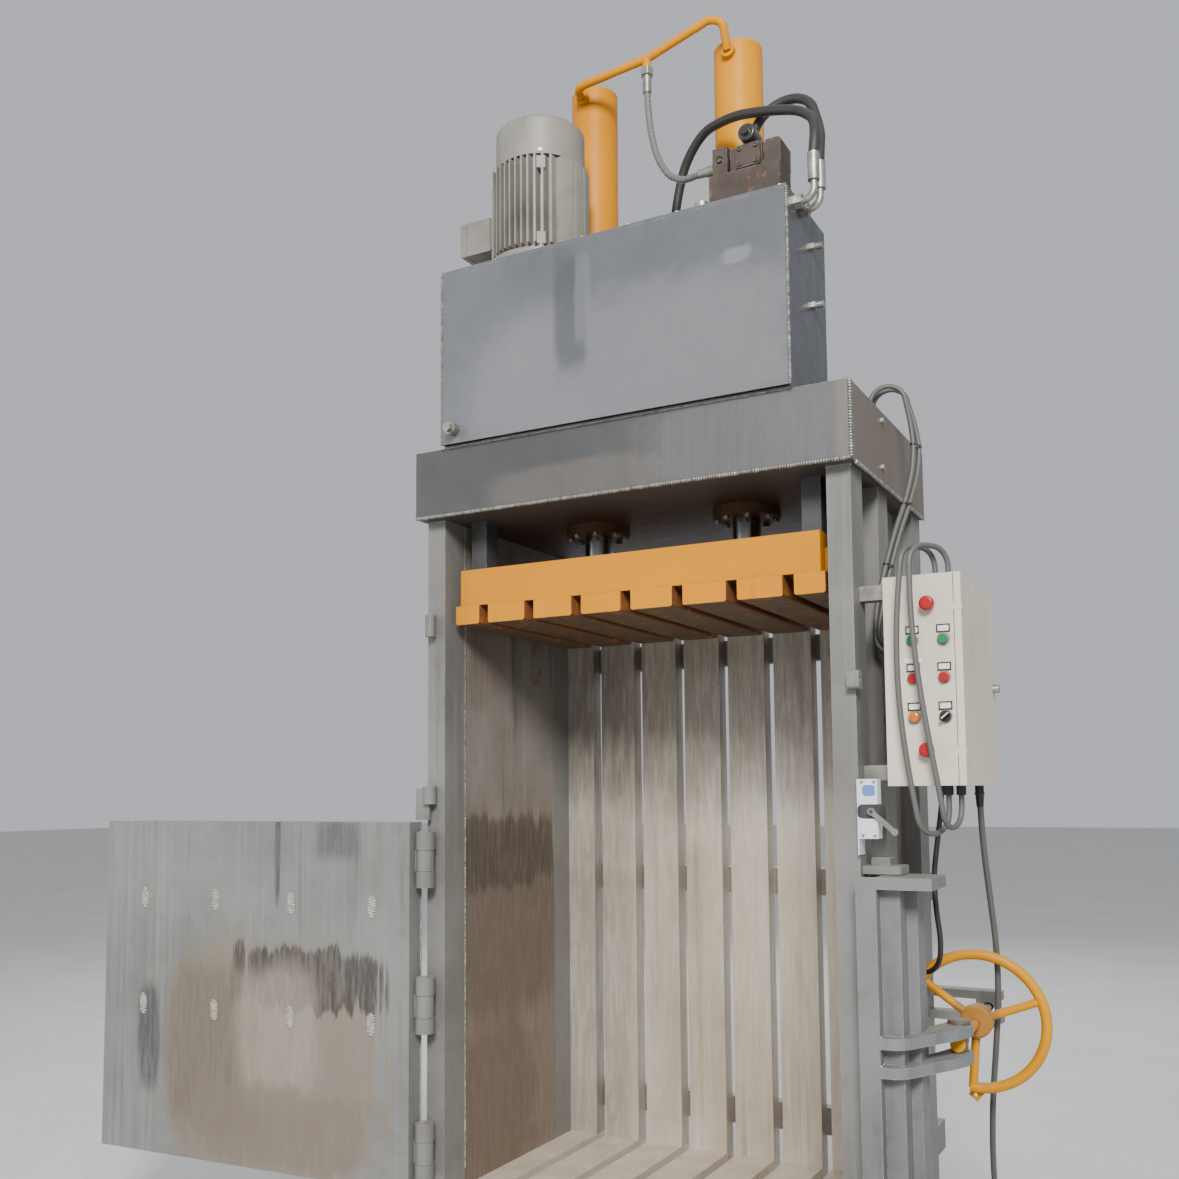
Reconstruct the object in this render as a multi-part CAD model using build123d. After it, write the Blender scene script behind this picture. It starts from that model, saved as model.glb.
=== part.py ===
"""Vertical hydraulic press for scrap metal, with a swinging front door, a slotted platen on two
cylinders, an oil tank with motor and valve on the crown, a screw clamp for the door and a cabinet.

Millimetres, +Z up, +X to the right and +Y into the depth as seen from the front. Heights are
counted from the ground. The model is drawn with Y = 0 on the front faces of the posts and is moved
on export, so that the origin is the middle of the base on the ground.
"""
import os
from math import atan2, cos, degrees, hypot, pi, radians, sin, tan

from build123d import *

# Main frame
FRAME_WIDTH = 1250.0
POST_WIDTH = 60.0
POST_DEPTH = 100.0
POST_WALL = 6.0
CHAMBER_DEPTH = 713.0
FLOOR_HEIGHT = 250.0
CROWN_BOTTOM = 2147.0
CROWN_HEIGHT = 195.0
CROWN_OVERHANG = 40.0
CROWN_SIDE_OVERHANG = 15.0
CROWN_PLATE = 16.0
STOP_WIDTH = 50.0
STOP_DEPTH = 60.0
STOP_INSET = 64.0
STOP_Y = 80.0
STOP_CLEARANCE = 2.0
WALL_THICKNESS = 8.0
BASE_RAIL_HEIGHT = 120.0
BASE_PLATE = 10.0
SILL_DEPTH = 60.0
INNER_X = FRAME_WIDTH / 2 - POST_WIDTH
OUTER_X = FRAME_WIDTH / 2
CROWN_TOP = CROWN_BOTTOM + CROWN_HEIGHT

# Slatted rear wall, floor bars and platen runners share one pitch and one strap slot
SLOT_PITCH = 151.0
SLOT_EDGE = 80.0
SLOT_COUNT = 2 * int((INNER_X - SLOT_EDGE) // SLOT_PITCH) + 1
SLOT_WIDTH = 30.0
SLAT_DEPTH = 53.0
SLAT_TOP = 1900.0
CHANNEL_WEB = 6.0
CHANNEL_FLANGE = 9.0
RAIL_DEPTH = 40.0
BASE_DEPTH = CHAMBER_DEPTH + SLAT_DEPTH + RAIL_DEPTH
RAIL_HEIGHT = 80.0
RAIL_HEIGHTS = (330.0, 1040.0, 1760.0)
STIFFENER_WIDTH = 48.0
STIFFENER_DEPTH = 100.0
STIFFENER_Y = 310.0

# Platen with its cylinders
PLATEN_SIDE_GAP = 17.0
PLATEN_FRONT_Y = 30.0
PLATEN_BACK_GAP = 13.0
PLATEN_BACK_Y = CHAMBER_DEPTH - PLATEN_BACK_GAP
PLATEN_BOTTOM = 1842.0
RUNNER_HEIGHT = 54.0
PLATEN_TOP = 2000.0
PLATEN_FRAME_INSET = 13.0
PLATEN_FRAME_SETBACK = 6.0
PLATEN_PLATE = 14.0
SHOE_LENGTH = 100.0
SHOE_HEIGHT = 64.0
SHOE_WALL_GAP = 5.0
CYLINDER_X = 236.0
CYLINDER_Y = 325.0
CYLINDER_RADIUS = 70.0
CYLINDER_BORE = 57.5
CYLINDER_TOP = 3493.0
CYLINDER_CAP = 25.0
GLAND_RADIUS = 95.0
GLAND_HEIGHT = 30.0
COLLAR_WALL = 8.0
COLLAR_HEIGHT = 18.0
COLLAR_CHAMFER = 7.0
ROD_RADIUS = 40.0
PISTON_HEIGHT = 80.0
PISTON_ROOM = 38.0
PISTON_TOP = CYLINDER_TOP - CYLINDER_CAP - PISTON_ROOM
ROD_FOOT_RADIUS = 70.0
ROD_FOOT_HEIGHT = 25.0
RUNNING_CLEARANCE = 0.05

# Oil tank, pump, motor
TANK_LEFT = -535.0
TANK_RIGHT = 500.0
TANK_FRONT = -60.0
TANK_BACK = 250.0
TANK_HEIGHT = 512.0
TANK_TOP = CROWN_TOP + TANK_HEIGHT
TANK_WALL = 5.0
TANK_BOTTOM_GAP = 22.0
LID_THICKNESS = 8.0
DRAIN_X = -490.0
DRAIN_RISE = 42.0
DRAIN_RADIUS = 17.0
GAUGE_Y = 134.0
GAUGE_DROPS = (86.0, 243.0)
GAUGE_RADIUS = 9.0
MOTOR_X = -295.0
MOTOR_Y = 95.0
MOTOR_FLANGE_RADIUS = 150.0
MOTOR_FLANGE_HEIGHT = 18.0
MOTOR_CORE_RADIUS = 118.0
MOTOR_FIN_RADIUS = 142.0
MOTOR_FIN_PITCH = 19.0
MOTOR_FIN_WIDTH = 5.0
MOTOR_FIN_COUNT = 11
MOTOR_FIN_BOTTOM = TANK_TOP + 36.0
MOTOR_BODY_TOP = TANK_TOP + 291.0
MOTOR_SHIELD_RADIUS = 122.0
LUG_SIZE = 24.0
LUG_HEIGHTS = (TANK_TOP + 30.0, TANK_TOP + 250.0)
LUG_TALL = 34.0
COVER_RADIUS = 129.0
COVER_BOTTOM = MOTOR_BODY_TOP + 8.0
COVER_TOP = COVER_BOTTOM + 119.0
COVER_WALL = 3.0
COVER_ROUND = 14.0
COVER_SLOT_COUNT = 18
COVER_FIXING_ANGLES = (-60.0, 30.0, 120.0, 210.0)
SHAFT_RADIUS = 14.0
FAN_RADIUS = 104.0
FAN_HUB_RADIUS = 32.0
FAN_BLADES = 8
FAN_BOTTOM = COVER_BOTTOM + 15.0
FAN_HEIGHT = 34.0
TERMINAL_BOX = (104.0, 110.0, 100.0)
TERMINAL_BOX_TOP = TANK_TOP + 186.0
PUMP_RADIUS = 55.0
PUMP_LENGTH = 130.0

# Pipes, valve and hoses
PIPE_RADIUS = 12.0
PORT_DROP = 38.0
PORT_BOSS_RADIUS = 19.0
PORT_BOSS_END = 240.0
PIPE_Y = 195.0
TEE_X = 5.0
TEE_Z = CYLINDER_TOP - 19.0
PIPE_CREST = (200.0, 198.0, CYLINDER_TOP + 38.0)
PIPE_SHOULDER = (238.0, 204.0, CYLINDER_TOP + 23.0)
PIPE_BENDS = (38.0, 150.0, 40.0, 26.0)
LOWER_PIPE_Z = 2440.0
VALVE_LEFT = 240.0
VALVE_RIGHT = 440.0
VALVE_FRONT = 75.0
VALVE_BACK = 165.0
MANIFOLD_TOP = TANK_TOP + 144.0
VALVE_TOP = TANK_TOP + 211.0
SIDE_VALVE_RIGHT = 292.0
SIDE_VALVE_TOP = TANK_TOP + 222.0
VALVE_CAP = (321.0, 386.0)
VALVE_CAP_THICKNESS = 9.0
SOLENOID_RADIUS = 24.0
SOLENOID_LENGTH = 62.0
ELBOW_YS = (10.0, 60.0)
ELBOW_DROP = 20.0
ELBOW_REACH = 50.0
ELBOW_BEND = 28.0
FERRULE_BOTTOM = TANK_TOP + 26.0
FERRULE_TOP = FERRULE_BOTTOM + 70.0
FERRULE_RADIUS = 15.0
HOSE_RADIUS = 13.0
VALVE_HOSE_RADIUS = 9.5

# Door and its hinges
HINGE_INSET = 20.0
HINGE_X = -OUTER_X + HINGE_INSET
HINGE_Y = -37.0
HINGE_PIN_RADIUS = 14.0
KNUCKLE_RADIUS = 27.0
DOOR_KNUCKLE_RADIUS = 25.0
KNUCKLE_SPANS = (
    (301.0, 342.0, 404.0, 451.0),
    (695.0, 737.0, 800.0, 849.0),
    (1096.0, 1141.0, 1201.0, 1251.0),
)
KNUCKLE_GAP = 1.0
KNUCKLE_WEB = 20.0
DOOR_EDGE_GAP = 29.0
DOOR_RIGHT_INSET = 43.0
DOOR_RIGHT = OUTER_X - DOOR_RIGHT_INSET
DOOR_SEAL_GAP = 1.0
DOOR_BOTTOM = 266.0
DOOR_TOP = 1279.0
DOOR_PLATE = 12.0
DOOR_EDGE_BAR = 90.0
DOOR_EDGE_BAR_THICKNESS = 16.0
DOOR_RIB_COUNT = 4
DOOR_RIB_FIRST = 127.0
DOOR_RIB_LAST = 76.0
DOOR_RIB_WIDTH = 100.0
DOOR_RIB_DEPTH = 48.0
DOOR_RIB_WALL = 6.0
DOOR_FLANGE = 12.0
DOOR_OPEN_ANGLE = 177.0
UPPER_HINGE_Y = -20.0
UPPER_HINGE_LOW = (1329.0, 1380.0, 19.0)
UPPER_HINGE_HIGH = (1807.0, 1870.0, 14.5)
UPPER_HINGE_PLATE = (HINGE_X - 44.0, HINGE_X + 2.0, 1284.0, 1374.0)
CATCH_X = (OUTER_X - 14.0, OUTER_X + 15.0)
CATCH_Z = (1598.0, 1642.0)
CATCH_REACH = 28.0

# Door clamp with its screw
CLAMP_X = OUTER_X + 35.0
CLAMP_Y = 70.0
CLAMP_PIN_RADIUS = 18.0
CLAMP_PIN_BOTTOM = 290.0
CLAMP_HEAD = 44.0
CLAMP_HEAD_HEIGHT = 19.0
CLAMP_EYE_RADIUS = 30.0
CLAMP_FRONT = -60.0
CLAMP_FLANGE = 14.0
CLAMP_PLATE = 12.0
CLAMP_LEFT = CLAMP_X - 32.0
CLAMP_FLANGE_RIGHT = CLAMP_X + 16.0
CLAMP_WEB_Y = -27.0
CLAMP_STEP_X = CLAMP_X + 62.0
CLAMP_STEP_Y = 30.0
CLAMP_BACK_X = CLAMP_X + 87.0
CLAMP_BACK_Y = 100.0
CLAMP_BOTTOM = 321.0
CLAMP_TOP_PLATE = (1133.0, 1160.0)
CLAMP_TOP_RIGHT = CLAMP_X + 141.0
CLAMP_ARMS = ((712.0, 737.0), (776.0, 801.0))
CLAMP_FOOT_PLATE = (321.0, 345.0)
CLAMP_ARM_EDGE = ((CLAMP_X + 30.0, CLAMP_FRONT), (CLAMP_X + 88.0, -14.0), (CLAMP_X + 124.0, 58.0))
CLAMP_BRACKET_TOP = 1162.0
CLAMP_BRACKET_BOTTOM = 300.0
CLAMP_BRACKET_THICKNESS = 19.0
CLAMP_BRACKET_RIGHT = CLAMP_X + 54.0
TRUNNION_X = CLAMP_X + 140.0
TRUNNION_Y = 190.0
TRUNNION_RADIUS = 20.0
TRUNNION_BOTTOM = 704.0
TRUNNION_CAP_RADIUS = 27.0
TRUNNION_CAP = 9.0
TRUNNION_CAP_GAP = 0.5
TRUNNION_EYE_RADIUS = 32.0
SCREW_Z = 757.0
SCREW_RADIUS = 12.0
SCREW_LENGTH = 640.0
SCREW_COLLAR_RADIUS = 17.5
SCREW_COLLAR = 12.0
SIDE_GAP = 0.5
NUT_X = CLAMP_X + 116.0
NUT_Y = CHAMBER_DEPTH - 23.0
NUT_OFFSET = 3.2
NUT_TURN = 1.8
NUT_SLACK = 5.5
NUT_SIZE = 60.0
REAR_ARM_DEPTH = 48.0
REAR_ARM_END = CLAMP_X + 158.0
REAR_ARM_LEVELS = ((719.0, 742.0), (781.0, 804.0))
WHEEL_DISTANCE = 291.0
WHEEL_RADIUS = 171.0
WHEEL_TUBE = 13.5
WHEEL_HUB_RADIUS = 42.0
WHEEL_HUB_LENGTH = 50.0
SPOKE_RADIUS = 11.0
SPOKE_ANGLES = (21.0, 144.0, 265.0)
RIM_ARC = (263.0, 505.0)
WHEEL_LUG = (28.0, 38.0, 6.0)
WHEEL_LUG_ANGLE = 272.0
WHEEL_LUG_TURN = 38.0
WHEEL_LUG_HOLE = 5.0

# Limit switch on the right post
SWITCH_X = (OUTER_X + 3.0, OUTER_X + 47.0)
SWITCH_FRONT = -12.0
SWITCH_BACK = 26.0
SWITCH_NECK_RIGHT = OUTER_X + 39.0
SWITCH_PLATE_BOTTOM = 1208.0
SWITCH_LEVELS = tuple(SWITCH_PLATE_BOTTOM + rise for rise in (38.0, 84.0, 118.0, 177.0))
LEVER_PIVOT = (OUTER_X + 43.0, SWITCH_PLATE_BOTTOM + 101.0)
LEVER_END = (OUTER_X + 87.0, SWITCH_PLATE_BOTTOM + 54.0)
LEVER_THICKNESS = 6.0
LEVER_RADIUS = 6.0

# Control cabinet
CABINET_LEFT = OUTER_X + 65.0
CABINET_WIDTH = 162.0
CABINET_RIGHT = CABINET_LEFT + CABINET_WIDTH
CABINET_FRONT = 20.0
CABINET_BACK = 430.0
CABINET_BOTTOM = 1368.0
CABINET_TOP = 1862.0
CABINET_WALL = 2.0
CABINET_DOOR_DEPTH = 18.0
CABINET_DOOR_GAP = 1.5
CABINET_PIN_X = CABINET_RIGHT + 14.0
CABINET_PIN_Y = CABINET_FRONT + 6.0
CABINET_PIN_RADIUS = 3.0
CABINET_EYE_RADIUS = 5.5
CABINET_EYES = ((1440.0, 1456.0), (1774.0, 1790.0))
CABINET_EYE_GAP = 0.5
CABINET_LIP = 12.0
LOCK_Y = 395.0
LOCK_RADIUS = 11.0
LOCK_LENGTH = 16.0
LOCK_TONGUE = (16.0, 44.0, 3.0)
BRACKET_LEVELS = ((1382.0, 1418.0), (1816.0, 1852.0))
BRACKET_Y = (56.0, 96.0)
BRACKET_WALL = 5.0
GEAR_PLATE = 3.0
BUTTON_RADIUS = 11.5
BEZEL_RADIUS = 15.0
BEZEL_DEPTH = 4.0
BUTTON_BORE_GAP = 0.4
NAMEPLATE = (30.0, 18.0, 1.5)
NAMEPLATE_RISE = 25.0
RIGHT_COLUMN = CABINET_LEFT + 138.0
LEFT_COLUMN = CABINET_LEFT + 67.0
ROW_LEVELS = (1707.0, 1618.0, 1527.0)
TOP_EMERGENCY = (CABINET_LEFT + 105.0, 1791.0)
LOW_EMERGENCY = (CABINET_LEFT + 95.0, 1450.0)
MUSHROOM_RADIUS = 17.0
BUTTON_STEM = 46.0

# Cables
CABLE_RADIUS = 6.5
SUPPLY_RADIUS = 8.0
GLAND_SIZE = 11.0
COIL_RADIUS = 92.0
COIL_TUBE = 20.0
COIL_X = OUTER_X + 75.0
COIL_Y = BASE_DEPTH + 94.0
PLUG_RADIUS = 26.0
PLUG_LENGTH = 110.0

SCREW_ANGLE = degrees(atan2(TRUNNION_X - NUT_X, NUT_Y - TRUNNION_Y))
TO_ORIGIN = Pos(0, -BASE_DEPTH / 2, 0)


def block(x, y, z):
    """Box from three (low, high) spans."""
    return Pos(x[0], y[0], z[0]) * Box(x[1] - x[0], y[1] - y[0], z[1] - z[0], align=(Align.MIN,) * 3)


def upright(x, y, z, radius):
    """Round bar standing between the two heights of z."""
    return Pos(x, y, z[0]) * Cylinder(radius, z[1] - z[0], align=(Align.CENTER, Align.CENTER, Align.MIN))


def along_y(x, z, y, radius):
    """Round bar lying along Y between the two places of y."""
    turn = Rot(-90, 0, 0)
    bar = Cylinder(radius, y[1] - y[0], align=(Align.CENTER, Align.CENTER, Align.MIN))
    return Pos(x, y[0], z) * turn * bar


def along_x(y, z, x, radius):
    """Round bar lying along X between the two places of x."""
    turn = Rot(0, 90, 0)
    bar = Cylinder(radius, x[1] - x[0], align=(Align.CENTER, Align.CENTER, Align.MIN))
    return Pos(x[0], y, z) * turn * bar


def prism(points, z):
    """Plan outline given by its corners, raised between the two heights of z."""
    outline = make_face(Polyline(*points, close=True))
    return Pos(0, 0, z[0]) * extrude(outline, z[1] - z[0])


def mirrored(part):
    """The part together with its image on the other side of the machine."""
    return [part, mirror(part, Plane.YZ)]


def bend_radii(points):
    """Arc radius at each inner corner of a route: 0.45 of the shorter run over tan of half the turn."""
    radii = []
    for before, corner, after in zip(points, points[1:], points[2:]):
        first = Vector(*corner) - Vector(*before)
        second = Vector(*after) - Vector(*corner)
        half_turn = radians(first.get_angle(second)) / 2
        radii.append(0.45 * min(first.length, second.length) / tan(half_turn))
    return radii


def tube_along(points, radii, radius):
    """Solid tube that follows straight runs joined by tangent arcs."""
    path = FilletPolyline(*points, radius=radii)
    section = Plane(origin=path @ 0, z_dir=path % 0) * Circle(radius)
    return sweep(section, path)


def cord(name, points, radius):
    """Flexible cord: prints its bends and compares its volume with section times length."""
    radii = bend_radii(points)
    path = FilletPolyline(*points, radius=radii)
    solid = tube_along(points, radii, radius)
    expected = pi * radius ** 2 * path.length
    print(f"{name}: length {path.length:.0f}, smallest bend {min(radii):.0f}, "
          f"bends {[round(value) for value in radii]}, volume ratio {solid.volume / expected:.4f}")
    return solid


def slot_bars(left, right):
    """(low, high) spans in X of the bars left between the strap slots."""
    first = -SLOT_PITCH * (SLOT_COUNT - 1) / 2
    edges = [left]
    for index in range(SLOT_COUNT):
        centre = first + index * SLOT_PITCH
        edges += [centre - SLOT_WIDTH / 2, centre + SLOT_WIDTH / 2]
    edges.append(right)
    return list(zip(edges[::2], edges[1::2]))


def base_frame():
    """Bottom plate with the rails that carry the posts and the floor bars."""
    rail_top = FLOOR_HEIGHT - SLAT_DEPTH
    plate = block((-OUTER_X, OUTER_X), (0, BASE_DEPTH), (0, BASE_PLATE))
    lift = (BASE_PLATE, rail_top)
    low = (BASE_PLATE, BASE_PLATE + BASE_RAIL_HEIGHT)
    frame = plate
    for x in ((-INNER_X, -INNER_X + SILL_DEPTH), (INNER_X - SILL_DEPTH, INNER_X)):
        frame += block(x, (0, CHAMBER_DEPTH + SLAT_DEPTH), lift)
    for y in ((0, SILL_DEPTH), (CHAMBER_DEPTH / 2 - SILL_DEPTH / 2, CHAMBER_DEPTH / 2 + SILL_DEPTH / 2),
              (CHAMBER_DEPTH - SILL_DEPTH, CHAMBER_DEPTH)):
        frame += block((-INNER_X, INNER_X), y, lift)
    for x in ((-OUTER_X, -INNER_X), (INNER_X, OUTER_X)):
        frame += block(x, (POST_DEPTH, CHAMBER_DEPTH - POST_DEPTH), low)
    return frame


def posts(front):
    """Pair of rectangular hollow posts from the base plate to the crown."""
    outside = block((INNER_X, OUTER_X), (front, front + POST_DEPTH), (BASE_PLATE, CROWN_BOTTOM))
    inside = block((INNER_X + POST_WALL, OUTER_X - POST_WALL),
                   (front + POST_WALL, front + POST_DEPTH - POST_WALL),
                   (BASE_PLATE, CROWN_BOTTOM))
    return mirrored(outside - inside)


def side_walls():
    """Chamber walls, flush with the inner faces of the posts."""
    wall = block((INNER_X, INNER_X + WALL_THICKNESS), (POST_DEPTH, CHAMBER_DEPTH - POST_DEPTH),
                 (BASE_PLATE + BASE_RAIL_HEIGHT, CROWN_BOTTOM))
    return mirrored(wall)


def channel_along_z(x, y, z, open_side):
    """Channel bar standing upright with its web on the far side from open_side (+1 or -1 in Y)."""
    outer = block(x, y, z)
    flange = CHANNEL_FLANGE
    if open_side > 0:
        hollow_y = (y[0] + CHANNEL_WEB, y[1])
    else:
        hollow_y = (y[0], y[1] - CHANNEL_WEB)
    return outer - block((x[0] + flange, x[1] - flange), hollow_y, z)


def rear_slats():
    """Upright channels with their webs to the chamber and strap slots between them."""
    depth = (CHAMBER_DEPTH, CHAMBER_DEPTH + SLAT_DEPTH)
    height = (FLOOR_HEIGHT, SLAT_TOP)
    return [channel_along_z(x, depth, height, 1) for x in slot_bars(-INNER_X, INNER_X)]


def floor_bars():
    """Channels laid flat, webs up, with the strap slots running on from the rear wall."""
    bars = []
    height = (FLOOR_HEIGHT - SLAT_DEPTH, FLOOR_HEIGHT)
    depth = (0, CHAMBER_DEPTH + SLAT_DEPTH)
    for x in slot_bars(-INNER_X, INNER_X):
        hollow = block((x[0] + CHANNEL_FLANGE, x[1] - CHANNEL_FLANGE), depth,
                       (height[0], height[1] - CHANNEL_WEB))
        bars.append(block(x, depth, height) - hollow)
    return bars


def wall_stiffeners():
    """Side channels on the chamber walls, and the rails that tie the rear slats to the rear posts."""
    inner = INNER_X + WALL_THICKNESS
    outer = inner + STIFFENER_WIDTH
    y = (STIFFENER_Y - STIFFENER_DEPTH / 2, STIFFENER_Y + STIFFENER_DEPTH / 2)
    z = (BASE_PLATE + BASE_RAIL_HEIGHT, CROWN_BOTTOM)
    hollow = block((inner, outer - CHANNEL_WEB), (y[0] + CHANNEL_FLANGE, y[1] - CHANNEL_FLANGE), z)
    parts = mirrored(block((inner, outer), y, z) - hollow)
    back = CHAMBER_DEPTH + SLAT_DEPTH
    for level in RAIL_HEIGHTS:
        z = (level, level + RAIL_HEIGHT)
        parts.append(block((-OUTER_X, OUTER_X), (back, back + RAIL_DEPTH), z))
        for x in ((-OUTER_X, -INNER_X), (INNER_X, OUTER_X)):
            parts.append(block(x, (CHAMBER_DEPTH, back), z))
    return parts


def crown_beam():
    """Box beam over the posts, open where the cylinders pass, with two platen stops below."""
    x = OUTER_X + CROWN_SIDE_OVERHANG
    outer = block((-x, x), (-CROWN_OVERHANG, CHAMBER_DEPTH), (CROWN_BOTTOM, CROWN_TOP))
    t = CROWN_PLATE
    inner = block((-x + t, x - t), (-CROWN_OVERHANG + t, CHAMBER_DEPTH - t),
                  (CROWN_BOTTOM + t, CROWN_TOP - t))
    beam = outer - inner
    stop_x = INNER_X - STOP_INSET
    for side in (-1, 1):
        beam -= upright(side * CYLINDER_X, CYLINDER_Y, (CROWN_BOTTOM, CROWN_TOP), CYLINDER_RADIUS)
        stop = (side * stop_x - STOP_WIDTH / 2, side * stop_x + STOP_WIDTH / 2)
        beam += block(stop, (STOP_Y, STOP_Y + STOP_DEPTH), (PLATEN_TOP + STOP_CLEARANCE, CROWN_BOTTOM))
    return beam


def oil_tank():
    """Welded tank that overhangs the crown in front, open at the top under its lid."""
    z = (CROWN_TOP, TANK_TOP - LID_THICKNESS)
    tank = block((TANK_LEFT, TANK_RIGHT), (TANK_FRONT, TANK_BACK), z)
    w = TANK_WALL
    tank -= block((TANK_LEFT + w, TANK_RIGHT - w), (TANK_FRONT + w, TANK_BACK - w), (z[0] + w, z[1]))
    tank -= block((TANK_LEFT, TANK_RIGHT), (TANK_FRONT, -CROWN_OVERHANG - w), (z[0], z[0] + w))
    tank -= along_y(DRAIN_X, CROWN_TOP + DRAIN_RISE, (TANK_FRONT, TANK_FRONT + w), GAUGE_RADIUS)
    return tank


def tank_lid():
    """Cover plate of the tank with the opening for the pump."""
    lid = block((TANK_LEFT, TANK_RIGHT), (TANK_FRONT, TANK_BACK), (TANK_TOP - LID_THICKNESS, TANK_TOP))
    return lid - upright(MOTOR_X, MOTOR_Y, (TANK_TOP - LID_THICKNESS, TANK_TOP), PUMP_RADIUS)


def tank_plugs():
    """Drain plug at the lower left, two gauge bolts on the right side, and the breather on the lid."""
    z = CROWN_TOP + DRAIN_RISE
    drain = along_y(DRAIN_X, z, (TANK_FRONT - 26, TANK_FRONT), DRAIN_RADIUS)
    drain += along_y(DRAIN_X, z, (TANK_FRONT, TANK_FRONT + TANK_WALL), GAUGE_RADIUS)
    cap = Plane(origin=(DRAIN_X, TANK_FRONT - 26, z), z_dir=(0, -1, 0)) * RegularPolygon(14, 6)
    drain += extrude(cap, 16)
    parts = [drain]
    for drop in GAUGE_DROPS:
        face = Plane(origin=(TANK_RIGHT, GAUGE_Y, TANK_TOP - drop), z_dir=(1, 0, 0))
        bolt = extrude(face * RegularPolygon(GAUGE_RADIUS + 4, 6), 10)
        bolt += along_x(GAUGE_Y, TANK_TOP - drop, (TANK_RIGHT + 10, TANK_RIGHT + 30), GAUGE_RADIUS)
        parts.append(bolt)
    breather = upright(VALVE_LEFT - 26, VALVE_FRONT + 14, (TANK_TOP, TANK_TOP + 62), 12)
    breather += upright(VALVE_LEFT - 26, VALVE_FRONT + 14, (TANK_TOP + 62, TANK_TOP + 84), 19)
    parts.append(breather)
    return parts


def cylinder():
    """Barrel with closed top, weld collar, port boss and bottom gland."""
    x, y = CYLINDER_X, CYLINDER_Y
    body = upright(x, y, (CROWN_BOTTOM, CYLINDER_TOP), CYLINDER_RADIUS)
    body -= upright(x, y, (CROWN_BOTTOM, CYLINDER_TOP - CYLINDER_CAP), CYLINDER_BORE)
    collar = upright(x, y, (CROWN_TOP, CROWN_TOP + COLLAR_HEIGHT), CYLINDER_RADIUS + COLLAR_WALL)
    collar -= upright(x, y, (CROWN_TOP, CROWN_TOP + COLLAR_HEIGHT), CYLINDER_RADIUS)
    collar -= block((x - CYLINDER_RADIUS, x + CYLINDER_RADIUS), (y - 2 * CYLINDER_RADIUS, TANK_BACK),
                    (CROWN_TOP, CROWN_TOP + COLLAR_HEIGHT))
    gland = upright(x, y, (CROWN_BOTTOM - GLAND_HEIGHT, CROWN_BOTTOM), GLAND_RADIUS)
    gland -= upright(x, y, (CROWN_BOTTOM - GLAND_HEIGHT, CROWN_BOTTOM), ROD_RADIUS + RUNNING_CLEARANCE)
    port_z = CYLINDER_TOP - PORT_DROP
    boss = along_y(x, port_z, (PORT_BOSS_END, y), PORT_BOSS_RADIUS)
    boss -= upright(x, y, (CROWN_TOP, CYLINDER_TOP), CYLINDER_RADIUS)
    low_boss = along_x(y, LOWER_PIPE_Z, (x - CYLINDER_RADIUS - 14, x), PORT_BOSS_RADIUS)
    low_boss -= upright(x, y, (CROWN_TOP, CYLINDER_TOP), CYLINDER_RADIUS)
    return body + collar + gland + boss + low_boss


def pressure_pipes():
    """Bent pipe between the upper ports with its tee, and the straight one between the lower ports."""
    port_z = CYLINDER_TOP - PORT_DROP
    route = [
        (-CYLINDER_X, PORT_BOSS_END, port_z),
        (-CYLINDER_X, PIPE_Y, port_z + 2),
        (TEE_X, PIPE_Y, TEE_Z),
        PIPE_CREST,
        PIPE_SHOULDER,
        (CYLINDER_X, PORT_BOSS_END, port_z),
    ]
    upper = tube_along(route, list(PIPE_BENDS), PIPE_RADIUS)
    upper += upright(TEE_X, PIPE_Y, (TEE_Z - 30, TEE_Z), PIPE_RADIUS)
    reach = CYLINDER_X - CYLINDER_RADIUS - 14
    lower = along_x(CYLINDER_Y, LOWER_PIPE_Z, (-reach, reach), PIPE_RADIUS)
    lower += upright(0, CYLINDER_Y, (LOWER_PIPE_Z, LOWER_PIPE_Z + 30), PIPE_RADIUS)
    return [upper, lower]


def hex_nut(x, y, z, size):
    """Upright hexagonal nut between the two heights of z, with its corners rounded off."""
    nut = Pos(x, y, z[0]) * extrude(RegularPolygon(size, 6), z[1] - z[0])
    return nut & upright(x, y, z, size * 0.97)


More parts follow.
